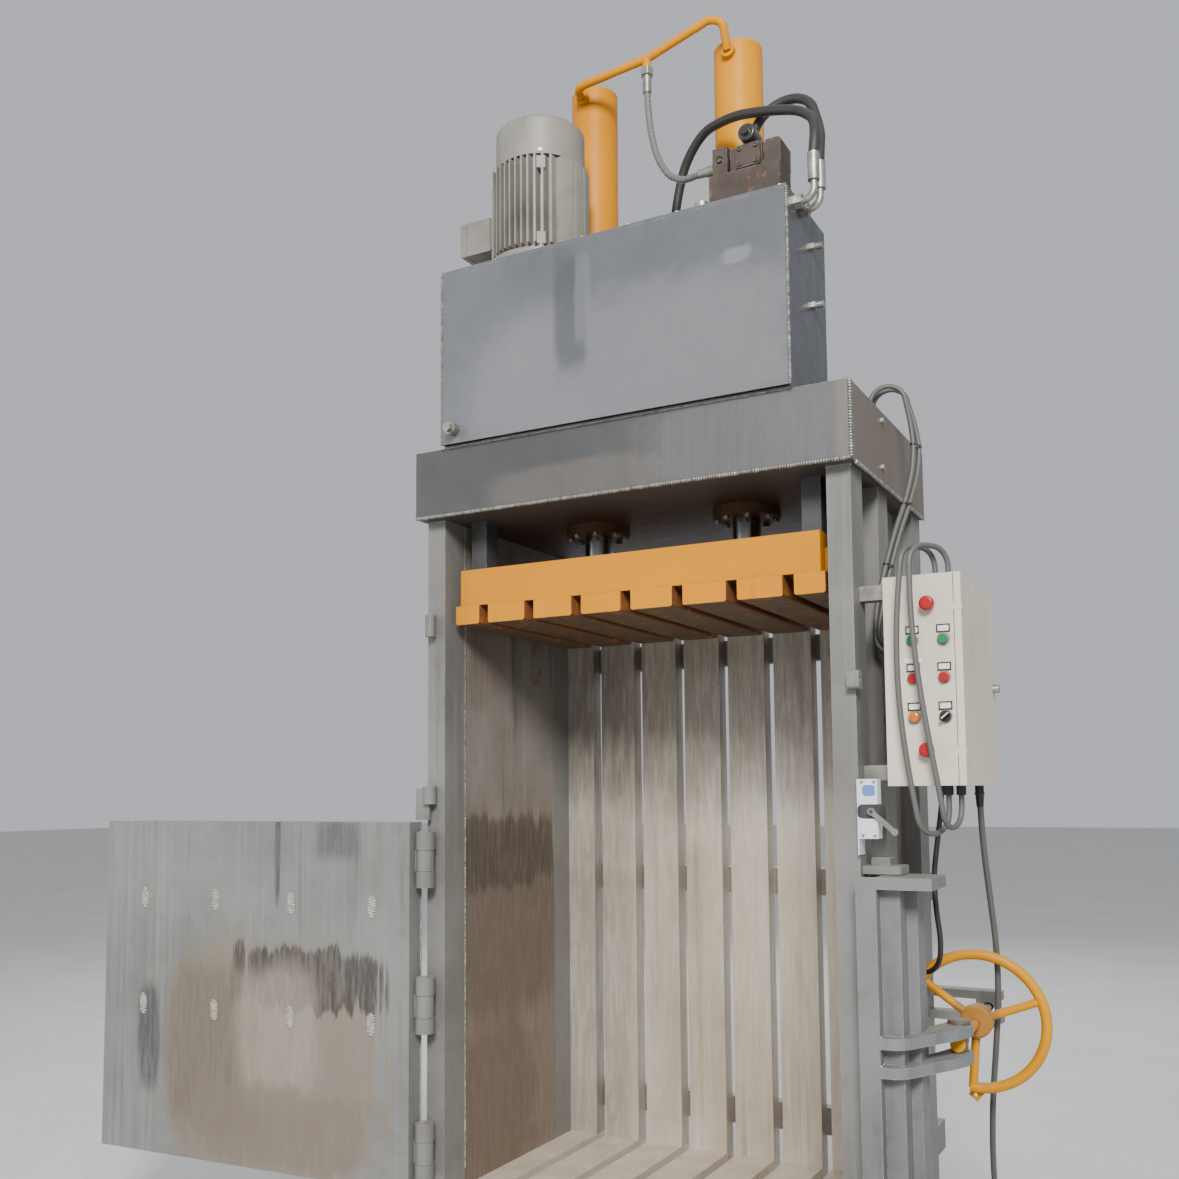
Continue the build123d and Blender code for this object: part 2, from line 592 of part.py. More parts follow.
def hose_fittings():
    """Nuts, ferrules and swept elbows at the ends of the hoses."""
    parts = []
    tee = hex_nut(TEE_X, PIPE_Y, (TEE_Z - 52, TEE_Z - 30), 19)
    tee += upright(TEE_X, PIPE_Y, (TEE_Z - 104, TEE_Z - 52), VALVE_HOSE_RADIUS + 3)
    parts.append(tee)
    valve_end = along_x(VALVE_FRONT + 45, SIDE_VALVE_TOP - 36, (VALVE_LEFT - 22, VALVE_LEFT), 15)
    valve_end += along_x(VALVE_FRONT + 45, SIDE_VALVE_TOP - 36, (VALVE_LEFT - 46, VALVE_LEFT - 22),
                         VALVE_HOSE_RADIUS + 3)
    parts.append(valve_end)
    low = hex_nut(0, CYLINDER_Y, (LOWER_PIPE_Z + 30, LOWER_PIPE_Z + 54), 22)
    low += upright(0, CYLINDER_Y, (LOWER_PIPE_Z + 54, LOWER_PIPE_Z + 110), FERRULE_RADIUS)
    parts.append(low)
    port_z = TANK_TOP - ELBOW_DROP
    for y in ELBOW_YS:
        face = Plane(origin=(TANK_RIGHT, y, port_z), z_dir=(1, 0, 0))
        elbow = extrude(face * RegularPolygon(19, 6), 20)
        elbow_x = TANK_RIGHT + ELBOW_REACH
        bend = tube_along([(TANK_RIGHT + 18, y, port_z), (elbow_x, y, port_z), (elbow_x, y, FERRULE_BOTTOM)],
                          [ELBOW_BEND], 9)
        elbow += bend
        elbow += upright(elbow_x, y, (FERRULE_BOTTOM - 1, FERRULE_TOP), FERRULE_RADIUS)
        parts.append(elbow)
    top = hex_nut(VALVE_CAP[1] - 44, VALVE_BACK - 18, (VALVE_TOP, VALVE_TOP + 18), 16)
    top += upright(VALVE_CAP[1] - 44, VALVE_BACK - 18, (VALVE_TOP + 18, RETURN_HOSE_START[2]), FERRULE_RADIUS)
    parts.append(top)
    return parts


def valve_block():
    """Manifold on the tank lid with the two valve bodies and the bolted cap on it."""
    manifold = block((VALVE_LEFT, VALVE_RIGHT), (VALVE_FRONT, VALVE_BACK), (TANK_TOP, MANIFOLD_TOP))
    manifold = chamfer(manifold.edges().filter_by(Axis.Z), 4)
    side_valve = block((VALVE_LEFT + 10, SIDE_VALVE_RIGHT), (VALVE_FRONT + 6, VALVE_BACK - 6),
                       (MANIFOLD_TOP, SIDE_VALVE_TOP))
    side_valve += along_x(VALVE_FRONT + 45, SIDE_VALVE_TOP - 36, (VALVE_LEFT, VALVE_LEFT + 10), 17)
    side_valve -= along_y(VALVE_LEFT + 30, SIDE_VALVE_TOP - 34, (VALVE_FRONT, VALVE_FRONT + 12), 11)
    side_valve += along_y(VALVE_LEFT + 30, SIDE_VALVE_TOP - 34, (VALVE_FRONT + 4, VALVE_FRONT + 12), 6)
    body = block((SIDE_VALVE_RIGHT + 8, VALVE_RIGHT), (VALVE_FRONT + 8, VALVE_BACK), (MANIFOLD_TOP, VALVE_TOP))
    body = chamfer(body.edges().filter_by(Axis.Y).group_by(Axis.Z)[-1], 5)
    waist_x = VALVE_CAP[1] + 4
    body -= block((waist_x, waist_x + 7), (VALVE_FRONT, VALVE_FRONT + 18), (MANIFOLD_TOP + 10, VALVE_TOP))
    return manifold + side_valve + body


def valve_cap():
    """Square end plate on the valve body, with its four screw heads."""
    cap = block(VALVE_CAP, (VALVE_FRONT + 8 - VALVE_CAP_THICKNESS, VALVE_FRONT + 8),
                (MANIFOLD_TOP + 3, VALVE_TOP - 2))
    cap = fillet(cap.edges().filter_by(Axis.Y), 6)
    for x in (VALVE_CAP[0] + 10, VALVE_CAP[1] - 10):
        for z in (MANIFOLD_TOP + 13, VALVE_TOP - 12):
            head = (VALVE_FRONT + 8 - VALVE_CAP_THICKNESS - 5, VALVE_FRONT + 8 - VALVE_CAP_THICKNESS)
            cap += along_y(x, z, head, 6)
            cap -= along_y(x, z, (head[0], head[0] + 3), 3)
    return cap


def valve_solenoid():
    """Round coil on top of the valve body with its end cap."""
    x = sum(VALVE_CAP) / 2
    z = VALVE_TOP + SOLENOID_RADIUS
    y = (VALVE_FRONT - 14, VALVE_FRONT - 14 + SOLENOID_LENGTH)
    coil = along_y(x, z, y, SOLENOID_RADIUS)
    coil = fillet(coil.edges().group_by(Axis.Y)[0], 6)
    coil += along_y(x, z, (y[0] - 9, y[0] + 2), 10)
    return coil


def motor_profile():
    """Plan section of the motor: a round core, fins on three sides and flat pads on the right."""
    half = (MOTOR_FIN_COUNT - 1) / 2
    section = Circle(MOTOR_CORE_RADIUS)
    for index in range(MOTOR_FIN_COUNT):
        offset = (index - half) * MOTOR_FIN_PITCH
        section += Pos(offset, 0) * Rectangle(MOTOR_FIN_WIDTH, 2 * MOTOR_FIN_RADIUS)
        section += Pos(-MOTOR_FIN_RADIUS / 2, offset) * Rectangle(MOTOR_FIN_RADIUS, MOTOR_FIN_WIDTH)
    for offset in (-62, -20, 24, 66):
        section += Pos(MOTOR_FIN_RADIUS / 2, offset) * Rectangle(MOTOR_FIN_RADIUS, 34)
    return section & Circle(MOTOR_FIN_RADIUS)


def motor_body():
    """Finned motor housing on its flange, with end shields, bolt lugs and terminal pad."""
    x, y = MOTOR_X, MOTOR_Y
    body = upright(x, y, (TANK_TOP, TANK_TOP + MOTOR_FLANGE_HEIGHT), MOTOR_FLANGE_RADIUS)
    body += upright(x, y, (TANK_TOP + MOTOR_FLANGE_HEIGHT, MOTOR_FIN_BOTTOM), MOTOR_SHIELD_RADIUS)
    body += Pos(x, y, MOTOR_FIN_BOTTOM) * extrude(motor_profile(), MOTOR_BODY_TOP - MOTOR_FIN_BOTTOM)
    body += upright(x, y, (MOTOR_BODY_TOP, FAN_BOTTOM - 6), MOTOR_SHIELD_RADIUS - 6)
    for bottom in LUG_HEIGHTS:
        for quarter in range(4):
            lug = Box(LUG_SIZE, LUG_SIZE, LUG_TALL, align=(Align.CENTER, Align.CENTER, Align.MIN))
            turn = Rot(0, 0, -59 + 90 * quarter)
            body += Pos(x, y, bottom) * turn * Pos(MOTOR_FIN_RADIUS - LUG_SIZE / 2, 0, 0) * lug
    body += motor_seat()
    return body - upright(x, y, (TANK_TOP, FAN_BOTTOM), SHAFT_RADIUS + RUNNING_CLEARANCE)


def terminal_box():
    """Terminal box on the motor's left side, with a groove round the edge of its lid."""
    long, wide, tall = TERMINAL_BOX
    y = (MOTOR_Y - wide / 2, MOTOR_Y + wide / 2)
    z = (TERMINAL_BOX_TOP - tall, TERMINAL_BOX_TOP)
    left = MOTOR_X - MOTOR_FIN_RADIUS - long
    box = block((left, MOTOR_X - MOTOR_FIN_RADIUS), y, z)
    box = fillet(box.edges().filter_by(Axis.Y).group_by(Axis.X)[0], 6)
    groove = block((left + 22, left + 24), y, z)
    groove -= block((left + 22, left + 24), (y[0] + 2, y[1] - 2), (z[0] + 2, z[1] - 2))
    return box - groove


def motor_seat():
    """Flat pad on the motor housing that carries the terminal box."""
    wide, tall = TERMINAL_BOX[1] - 10, TERMINAL_BOX[2] - 10
    return block((MOTOR_X - MOTOR_FIN_RADIUS, MOTOR_X - MOTOR_CORE_RADIUS + 4),
                 (MOTOR_Y - wide / 2, MOTOR_Y + wide / 2),
                 (TERMINAL_BOX_TOP - 5 - tall, TERMINAL_BOX_TOP - 5))


def fan_cover():
    """Round hood over the fan, open below, with a ring of air slots in its top."""
    height = COVER_TOP - COVER_BOTTOM
    hood = upright(MOTOR_X, MOTOR_Y, (COVER_BOTTOM, COVER_TOP), COVER_RADIUS)
    hood = fillet(hood.edges().group_by(Axis.Z)[-1], COVER_ROUND)
    inner = upright(MOTOR_X, MOTOR_Y, (COVER_BOTTOM, COVER_TOP - COVER_WALL), COVER_RADIUS - COVER_WALL)
    hood -= fillet(inner.edges().group_by(Axis.Z)[-1], COVER_ROUND - COVER_WALL)
    slot = Pos(62, 0, height - 10) * Box(60, 7, 20)
    for index in range(COVER_SLOT_COUNT):
        turn = Rot(0, 0, index * 360 / COVER_SLOT_COUNT)
        hood -= Pos(MOTOR_X, MOTOR_Y, COVER_BOTTOM) * turn * slot
    for angle in COVER_FIXING_ANGLES:
        seat = Pos(COVER_RADIUS - COVER_WALL - 3.5, 0, 9) * Box(9, 16, 18)
        hood += Pos(MOTOR_X, MOTOR_Y, COVER_BOTTOM) * Rot(0, 0, angle) * seat
    return hood


def motor_fan():
    """Motor shaft with the cooling fan at its top and the pump coupling at its foot."""
    x, y = MOTOR_X, MOTOR_Y
    shaft = upright(x, y, (TANK_TOP - LID_THICKNESS, FAN_BOTTOM + FAN_HEIGHT + 12), SHAFT_RADIUS)
    shaft += upright(x, y, (FAN_BOTTOM, FAN_BOTTOM + FAN_HEIGHT), FAN_HUB_RADIUS)
    shaft += upright(x, y, (FAN_BOTTOM, FAN_BOTTOM + 4), FAN_RADIUS)
    blade_length = FAN_RADIUS - FAN_HUB_RADIUS + 6
    blade = Pos(FAN_HUB_RADIUS - 6 + blade_length / 2, 0, FAN_HEIGHT / 2) * Box(blade_length, 4, FAN_HEIGHT)
    for index in range(FAN_BLADES):
        shaft += Pos(x, y, FAN_BOTTOM) * Rot(0, 0, index * 360 / FAN_BLADES) * blade
    return shaft


def oil_pump():
    """Gear pump hanging in the tank below the motor, with its suction tube."""
    x, y = MOTOR_X, MOTOR_Y
    top = TANK_TOP - LID_THICKNESS
    pump = upright(x, y, (top - 60, TANK_TOP), PUMP_RADIUS)
    pump -= upright(x, y, (top - 60, TANK_TOP), SHAFT_RADIUS + 8)
    pump += upright(x, y, (top - 60 - PUMP_LENGTH, top - 60), PUMP_RADIUS - 8)
    pump += upright(x, y, (CROWN_TOP + 60, top - 60 - PUMP_LENGTH), 16)
    pump += upright(x, y, (CROWN_TOP + 30, CROWN_TOP + 60), 34)
    return pump


def hinge_barrels():
    """Outer knuckles of the three door hinges with their pins, on the left post."""
    parts = []
    for bottom, low, high, top in KNUCKLE_SPANS:
        pin = upright(HINGE_X, HINGE_Y, (bottom, top), HINGE_PIN_RADIUS)
        for z in ((bottom, low), (high, top)):
            pin += upright(HINGE_X, HINGE_Y, z, KNUCKLE_RADIUS)
            pin += block((HINGE_X - KNUCKLE_WEB / 2, HINGE_X + KNUCKLE_WEB / 2), (HINGE_Y, 0), z)
        parts.append(pin)
    return parts


def upper_hinge_halves():
    """Empty lift-off hinge halves of the upper door, and its catch on the right post."""
    parts = []
    x = HINGE_X + 2
    for bottom, top, radius in (UPPER_HINGE_LOW, UPPER_HINGE_HIGH):
        half = upright(x, UPPER_HINGE_Y, (bottom, top), radius)
        half += block((x - 8, x + 8), (UPPER_HINGE_Y, 0), (bottom, top))
        half -= upright(x, UPPER_HINGE_Y, (top - 30, top), radius / 2)
        parts.append(half)
    left, right, bottom, top = UPPER_HINGE_PLATE
    parts[0] += block((left, right), (UPPER_HINGE_Y - 4, UPPER_HINGE_Y + 4), (bottom, top))
    catch = block(CATCH_X, (-CATCH_REACH, 0), CATCH_Z)
    catch = fillet(catch.edges().filter_by(Axis.X).group_by(Axis.Y)[0], 10)
    catch -= along_x(-CATCH_REACH / 2, sum(CATCH_Z) / 2, CATCH_X, 6)
    parts.append(catch)
    return parts


def post_hinges():
    """Everything that hangs the doors on the posts."""
    return hinge_barrels() + upper_hinge_halves()


def opened(part):
    """A door piece drawn closed, turned about the hinge to the open rest position."""
    return Pos(HINGE_X, HINGE_Y, 0) * Rot(0, 0, -DOOR_OPEN_ANGLE) * Pos(-HINGE_X, -HINGE_Y, 0) * part


def door_plate():
    """Inner plate of the door, between the hinge edge and the edge bar."""
    left = HINGE_X + DOOR_EDGE_GAP
    right = DOOR_RIGHT - DOOR_EDGE_BAR
    y = (-DOOR_SEAL_GAP - DOOR_PLATE, -DOOR_SEAL_GAP)
    return opened(block((left, right), y, (DOOR_BOTTOM, DOOR_TOP)))


def door_ribs():
    """Back of the door: channels, edge flanges, the clamping bar and the hinge knuckles."""
    left = HINGE_X + DOOR_EDGE_GAP
    right = DOOR_RIGHT - DOOR_EDGE_BAR
    back = -DOOR_SEAL_GAP - DOOR_PLATE
    outer = back - DOOR_RIB_DEPTH
    z = (DOOR_BOTTOM, DOOR_TOP)
    ribs = block((left, left + DOOR_FLANGE), (outer, back), z)
    ribs += block((left, right), (outer, back), (DOOR_BOTTOM, DOOR_BOTTOM + DOOR_FLANGE))
    ribs += block((left, right), (outer, back), (DOOR_TOP - DOOR_FLANGE, DOOR_TOP))
    ribs += block((right - DOOR_FLANGE, right), (outer, back), z)
    first, last = left + DOOR_RIB_FIRST, right - DOOR_RIB_LAST
    for index in range(DOOR_RIB_COUNT):
        centre = first + (last - first) * index / (DOOR_RIB_COUNT - 1)
        x = (centre - DOOR_RIB_WIDTH / 2, centre + DOOR_RIB_WIDTH / 2)
        w = DOOR_RIB_WALL
        ribs += block(x, (outer, back), z) - block((x[0] + w, x[1] - w), (outer, back - w), z)
    bar_back = -DOOR_SEAL_GAP - DOOR_EDGE_BAR_THICKNESS
    ribs += block((right, DOOR_RIGHT), (bar_back, -DOOR_SEAL_GAP), z)
    ribs += block((right - DOOR_FLANGE, right), (bar_back, back), z)
    for bottom, low, high, top in KNUCKLE_SPANS:
        knuckle_z = (low + KNUCKLE_GAP, high - KNUCKLE_GAP)
        strap = block((HINGE_X, left), (HINGE_Y - 8, HINGE_Y + 8), knuckle_z)
        strap += upright(HINGE_X, HINGE_Y, knuckle_z, DOOR_KNUCKLE_RADIUS)
        strap -= upright(HINGE_X, HINGE_Y, knuckle_z, HINGE_PIN_RADIUS + RUNNING_CLEARANCE)
        ribs += strap
    return opened(ribs)


def platen_frame():
    """Open-topped box of the platen with ribs under the rods and wear shoes at its ends."""
    x = INNER_X - PLATEN_SIDE_GAP - PLATEN_FRAME_INSET
    y = (PLATEN_FRONT_Y + PLATEN_FRAME_SETBACK, PLATEN_BACK_Y - PLATEN_FRAME_SETBACK)
    bottom = PLATEN_BOTTOM + RUNNER_HEIGHT
    t = PLATEN_PLATE
    frame = block((-x, x), y, (bottom, PLATEN_TOP))
    frame -= block((-x + t, x - t), (y[0] + t, y[1] - t), (bottom + t, PLATEN_TOP))
    for side in (-1, 1):
        for offset in (-ROD_FOOT_RADIUS - 8, ROD_FOOT_RADIUS + 8):
            centre = side * CYLINDER_X + offset
            frame += block((centre - t / 2, centre + t / 2), y, (bottom, PLATEN_TOP - 14))
        shoe_x = sorted((side * x, side * (INNER_X - SHOE_WALL_GAP)))
        frame += block(shoe_x, (y[0] + 40, y[0] + 40 + SHOE_LENGTH), (bottom + 2, bottom + 2 + SHOE_HEIGHT))
        frame += block(shoe_x, (y[1] - 40 - SHOE_LENGTH, y[1] - 40), (bottom + 2, bottom + 2 + SHOE_HEIGHT))
    return frame


def platen_runners():
    """Pressing bars under the platen, with the strap slots between them and closed ends."""
    bars = []
    x_limit = INNER_X - PLATEN_SIDE_GAP
    y = (PLATEN_FRONT_Y, PLATEN_BACK_Y)
    z = (PLATEN_BOTTOM, PLATEN_BOTTOM + RUNNER_HEIGHT)
    for x in slot_bars(-x_limit, x_limit):
        bar = block(x, y, z)
        bar = fillet(bar.edges().filter_by(Axis.Y).group_by(Axis.Z)[0], 6)
        hollow = block((x[0] + CHANNEL_FLANGE, x[1] - CHANNEL_FLANGE),
                       (y[0] + CHANNEL_FLANGE, y[1] - CHANNEL_FLANGE), (z[0] + CHANNEL_FLANGE, z[1]))
        bars.append(bar - hollow)
    return bars


def piston_rods():
    """Two rods with their pistons, standing on the platen on round feet."""
    foot_z = PLATEN_BOTTOM + RUNNER_HEIGHT + PLATEN_PLATE
    rods = []
    for side in (-1, 1):
        x = side * CYLINDER_X
        rod = upright(x, CYLINDER_Y, (foot_z, PISTON_TOP), ROD_RADIUS)
        rod += upright(x, CYLINDER_Y, (foot_z, foot_z + ROD_FOOT_HEIGHT), ROD_FOOT_RADIUS)
        rod += upright(x, CYLINDER_Y, (PISTON_TOP - PISTON_HEIGHT, PISTON_TOP),
                       CYLINDER_BORE - RUNNING_CLEARANCE)
        rods.append(rod)
    return rods


def clamp_column():
    """Folded upright of the clamp: gripping flange, web, step and back leg."""
    t = CLAMP_PLATE
    points = [
        (CLAMP_LEFT, CLAMP_FRONT),
        (CLAMP_FLANGE_RIGHT, CLAMP_FRONT),
        (CLAMP_FLANGE_RIGHT, CLAMP_WEB_Y),
        (CLAMP_STEP_X, CLAMP_WEB_Y),
        (CLAMP_STEP_X, CLAMP_STEP_Y),
        (CLAMP_BACK_X, CLAMP_STEP_Y),
        (CLAMP_BACK_X, CLAMP_BACK_Y),
        (CLAMP_BACK_X - t, CLAMP_BACK_Y),
        (CLAMP_BACK_X - t, CLAMP_STEP_Y + t),
        (CLAMP_STEP_X - t, CLAMP_STEP_Y + t),
        (CLAMP_STEP_X - t, CLAMP_WEB_Y + t),
        (CLAMP_FLANGE_RIGHT - t, CLAMP_WEB_Y + t),
        (CLAMP_FLANGE_RIGHT - t, CLAMP_FRONT + CLAMP_FLANGE),
        (CLAMP_LEFT, CLAMP_FRONT + CLAMP_FLANGE),
    ]
    return prism(points, (CLAMP_BOTTOM, CLAMP_TOP_PLATE[0]))


def clamp_plate_outline(right, front):
    """Plan outline of a short clamp plate, from the gripping edge to the eye round the pin."""
    body = make_face(Polyline(
        (CLAMP_LEFT, front),
        (right, front),
        (right, CLAMP_BACK_Y - 12),
        (right - 12, CLAMP_BACK_Y),
        (CLAMP_X, CLAMP_BACK_Y),
        (CLAMP_X, CLAMP_Y),
        (CLAMP_FLANGE_RIGHT - 4, -8),
        (CLAMP_FLANGE_RIGHT - 4, front + CLAMP_FLANGE),
        (CLAMP_LEFT, front + CLAMP_FLANGE),
        close=True))
    return body + Pos(CLAMP_X, CLAMP_Y) * Circle(CLAMP_EYE_RADIUS)


def clamp_arm_outline():
    """Plan outline of a long arm that sweeps back to the eye of the screw trunnion."""
    end = (TRUNNION_X + TRUNNION_EYE_RADIUS, TRUNNION_Y)
    sweep_line = Spline(*CLAMP_ARM_EDGE, end, tangents=[(1, 0), (0.15, 1)])
    back = Polyline(end, (TRUNNION_X, TRUNNION_Y), (TRUNNION_X - TRUNNION_EYE_RADIUS, TRUNNION_Y),
                    (CLAMP_BACK_X - 10, CLAMP_BACK_Y), (CLAMP_X, CLAMP_BACK_Y), (CLAMP_X, CLAMP_Y),
                    (CLAMP_FLANGE_RIGHT - 4, -8), (CLAMP_FLANGE_RIGHT - 4, CLAMP_FRONT + CLAMP_FLANGE),
                    (CLAMP_LEFT, CLAMP_FRONT + CLAMP_FLANGE), (CLAMP_LEFT, CLAMP_FRONT))
    front = Line((CLAMP_LEFT, CLAMP_FRONT), CLAMP_ARM_EDGE[0])
    face = make_face([front, sweep_line, back])
    face += Pos(TRUNNION_X, TRUNNION_Y) * Circle(TRUNNION_EYE_RADIUS)
    return face + Pos(CLAMP_X, CLAMP_Y) * Circle(CLAMP_EYE_RADIUS)


def clamp_jaw():
    """Door clamp: column, top and foot plates and two long arms, turning on the clamp pin."""
    clamp = clamp_column()
    for z, right in ((CLAMP_TOP_PLATE, CLAMP_TOP_RIGHT), (CLAMP_FOOT_PLATE, CLAMP_BACK_X)):
        plate = extrude(clamp_plate_outline(right, CLAMP_FRONT), z[1] - z[0])
        clamp += Pos(0, 0, z[0]) * plate
    for z in CLAMP_ARMS:
        clamp += Pos(0, 0, z[0]) * extrude(clamp_arm_outline(), z[1] - z[0])
    reach = (CLAMP_BOTTOM, CLAMP_TOP_PLATE[1])
    clamp -= upright(CLAMP_X, CLAMP_Y, reach, CLAMP_PIN_RADIUS + RUNNING_CLEARANCE)
    return clamp - upright(TRUNNION_X, TRUNNION_Y, reach, TRUNNION_RADIUS + RUNNING_CLEARANCE)


def clamp_pin():
    """Long hinge pin of the clamp with its square head."""
    head_z = CLAMP_BRACKET_TOP + CLAMP_BRACKET_THICKNESS
    pin = upright(CLAMP_X, CLAMP_Y, (CLAMP_PIN_BOTTOM, head_z), CLAMP_PIN_RADIUS)
    half = CLAMP_HEAD / 2
    head = block((CLAMP_X - half, CLAMP_X + half), (CLAMP_Y - half, CLAMP_Y + half),
                 (head_z, head_z + CLAMP_HEAD_HEIGHT))
    return pin + chamfer(head.edges().group_by(Axis.Z)[-1], 3)


def clamp_brackets():
    """Ears on the right post for the clamp pin, and the rear arms with the nut of the screw."""
    parts = []
    for z in (CLAMP_BRACKET_BOTTOM, CLAMP_BRACKET_TOP):
        ear = block((OUTER_X, CLAMP_BRACKET_RIGHT), (CLAMP_Y - 50, CLAMP_Y + 40),
                    (z, z + CLAMP_BRACKET_THICKNESS))
        ear = fillet(ear.edges().filter_by(Axis.Z).group_by(Axis.X)[-1], 12)
        ear -= upright(CLAMP_X, CLAMP_Y, (z, z + CLAMP_BRACKET_THICKNESS), CLAMP_PIN_RADIUS)
        parts.append(ear)
    nut_x = NUT_X + NUT_OFFSET
    half = NUT_SIZE / 2
    arms = block((nut_x - half, nut_x + half), (NUT_Y - REAR_ARM_DEPTH / 2, NUT_Y + REAR_ARM_DEPTH / 2),
                 (REAR_ARM_LEVELS[0][1], REAR_ARM_LEVELS[1][0]))
    for z in REAR_ARM_LEVELS:
        arm = block((OUTER_X, REAR_ARM_END), (NUT_Y - REAR_ARM_DEPTH / 2, NUT_Y + REAR_ARM_DEPTH / 2), z)
        arms += fillet(arm.edges().filter_by(Axis.Z).group_by(Axis.X)[-1], 10)
    bore = along_y(0, SCREW_Z, (-NUT_SIZE, NUT_SIZE), SCREW_RADIUS + NUT_SLACK)
    parts.append(arms - Pos(nut_x, NUT_Y, 0) * Rot(0, 0, SCREW_ANGLE + NUT_TURN) * bore)
    return parts


def along_screw(part):
    """A piece of the screw, drawn along +Y from the trunnion's axis, turned onto the screw's line."""
    return Pos(TRUNNION_X, TRUNNION_Y, SCREW_Z) * Rot(0, 0, SCREW_ANGLE) * part


def screw_trunnion():
    """Swivel post in the eyes of the arms, capped on top, with the cross bore for the screw."""
    top = CLAMP_ARMS[1][1] + TRUNNION_CAP_GAP
    post = upright(TRUNNION_X, TRUNNION_Y, (TRUNNION_BOTTOM, top), TRUNNION_RADIUS)
    cap = upright(TRUNNION_X, TRUNNION_Y, (top, top + TRUNNION_CAP), TRUNNION_CAP_RADIUS)
    post += chamfer(cap.edges().group_by(Axis.Z)[-1], 2)
    bore = along_y(0, 0, (-TRUNNION_EYE_RADIUS, TRUNNION_EYE_RADIUS), SCREW_RADIUS + RUNNING_CLEARANCE)
    return post - along_screw(bore)


def rim_point(angle, radius):
    """Point of the wheel plane at an angle from the right-hand side towards the top."""
    return (radius * cos(radians(angle)), WHEEL_DISTANCE, radius * sin(radians(angle)))


def wheel_spoke(angle):
    """Round spoke from the hub to the middle of the rim tube."""
    start = rim_point(angle, WHEEL_HUB_RADIUS - 6)
    direction = (cos(radians(angle)), 0, sin(radians(angle)))
    section = Plane(origin=start, z_dir=direction) * Circle(SPOKE_RADIUS)
    return extrude(section, WHEEL_RADIUS - WHEEL_HUB_RADIUS + 6)


def wheel_lug():
    """Flat tab with a hole, welded behind the rim near its lower end."""
    wide, tall, thick = WHEEL_LUG
    tab = Pos(0, 0, -tall / 2) * Box(wide, thick, tall)
    tab -= Pos(0, 0, -tall + 11) * Rot(90, 0, 0) * Cylinder(WHEEL_LUG_HOLE, 2 * thick)
    x, y, z = rim_point(WHEEL_LUG_ANGLE, WHEEL_RADIUS)
    return Pos(x, y + WHEEL_TUBE - 2, z) * Rot(0, WHEEL_LUG_TURN, 0) * tab


def handwheel():
    """Broken handwheel: two thirds of a rim on three spokes, with hub, screw and thrust collars."""
    middle = (RIM_ARC[0] + RIM_ARC[1]) / 2
    arc = ThreePointArc(rim_point(RIM_ARC[0], WHEEL_RADIUS), rim_point(middle, WHEEL_RADIUS),
                        rim_point(RIM_ARC[1], WHEEL_RADIUS))
    rim = sweep(Plane(origin=arc @ 0, z_dir=arc % 0) * Circle(WHEEL_TUBE), arc)
    hub_y = (WHEEL_DISTANCE - WHEEL_HUB_LENGTH / 2, WHEEL_DISTANCE + WHEEL_HUB_LENGTH / 2)
    hub = along_y(0, 0, hub_y, WHEEL_HUB_RADIUS)
    wheel = rim + chamfer(hub.edges().group_by(Axis.Y)[0], 6)
    for angle in SPOKE_ANGLES:
        wheel += wheel_spoke(angle)
    near = TRUNNION_RADIUS + SIDE_GAP
    wheel += along_y(0, 0, (-near - SCREW_COLLAR, SCREW_LENGTH), SCREW_RADIUS)
    for start in (-near - SCREW_COLLAR, near):
        wheel += along_y(0, 0, (start, start + SCREW_COLLAR), SCREW_COLLAR_RADIUS)
    return along_screw(wheel + wheel_lug())


def switch_body():
    """Limit switch on its plate beside the right post: head, neck and lower block."""
    low, neck, head, top = SWITCH_LEVELS
    y = (SWITCH_FRONT, SWITCH_BACK)
    plate = block((OUTER_X, SWITCH_X[0]), (SWITCH_FRONT - 4, SWITCH_BACK + 6), (SWITCH_PLATE_BOTTOM, top))
    lower = block(SWITCH_X, y, (low, neck))
    upper = block(SWITCH_X, y, (head, top))
    upper = fillet(upper.edges().filter_by(Axis.Z).group_by(Axis.X)[-1], 5)
    middle = block((SWITCH_X[0], SWITCH_NECK_RIGHT), (y[0] + 3, y[1] - 3), (neck, head))
    body = plate + lower + upper + middle
    body += along_y(SWITCH_X[0] + 12, low + 16, (SWITCH_FRONT - 3, SWITCH_FRONT), 6)
    pivot_x, pivot_z = LEVER_PIVOT
    body += along_y(pivot_x - 10, pivot_z, (SWITCH_FRONT, SWITCH_FRONT + 10), 9)
    return body + along_y(pivot_x - 10, pivot_z, (SWITCH_FRONT - 8, SWITCH_FRONT), 4)


def switch_lever():
    """Lever of the limit switch on its small shaft."""
    pivot_x, pivot_z = LEVER_PIVOT[0] - 10, LEVER_PIVOT[1]
    end_x, end_z = LEVER_END
    length = hypot(end_x - pivot_x, end_z - pivot_z)
    angle = degrees(atan2(end_z - pivot_z, end_x - pivot_x))
    bar = Pos(length / 2, 0, 0) * Box(length, LEVER_THICKNESS, 2 * LEVER_RADIUS)
    y_front = SWITCH_FRONT - 1 - LEVER_THICKNESS
    lever = Pos(pivot_x, y_front + LEVER_THICKNESS / 2, pivot_z) * Rot(0, -angle, 0) * bar
    lever += along_y(end_x, end_z, (y_front, y_front + LEVER_THICKNESS), LEVER_RADIUS + 2)
    lever += along_y(pivot_x, pivot_z, (y_front, y_front + LEVER_THICKNESS), LEVER_RADIUS + 3)
    return lever - along_y(pivot_x, pivot_z, (y_front - 1, SWITCH_FRONT), 4 + RUNNING_CLEARANCE)


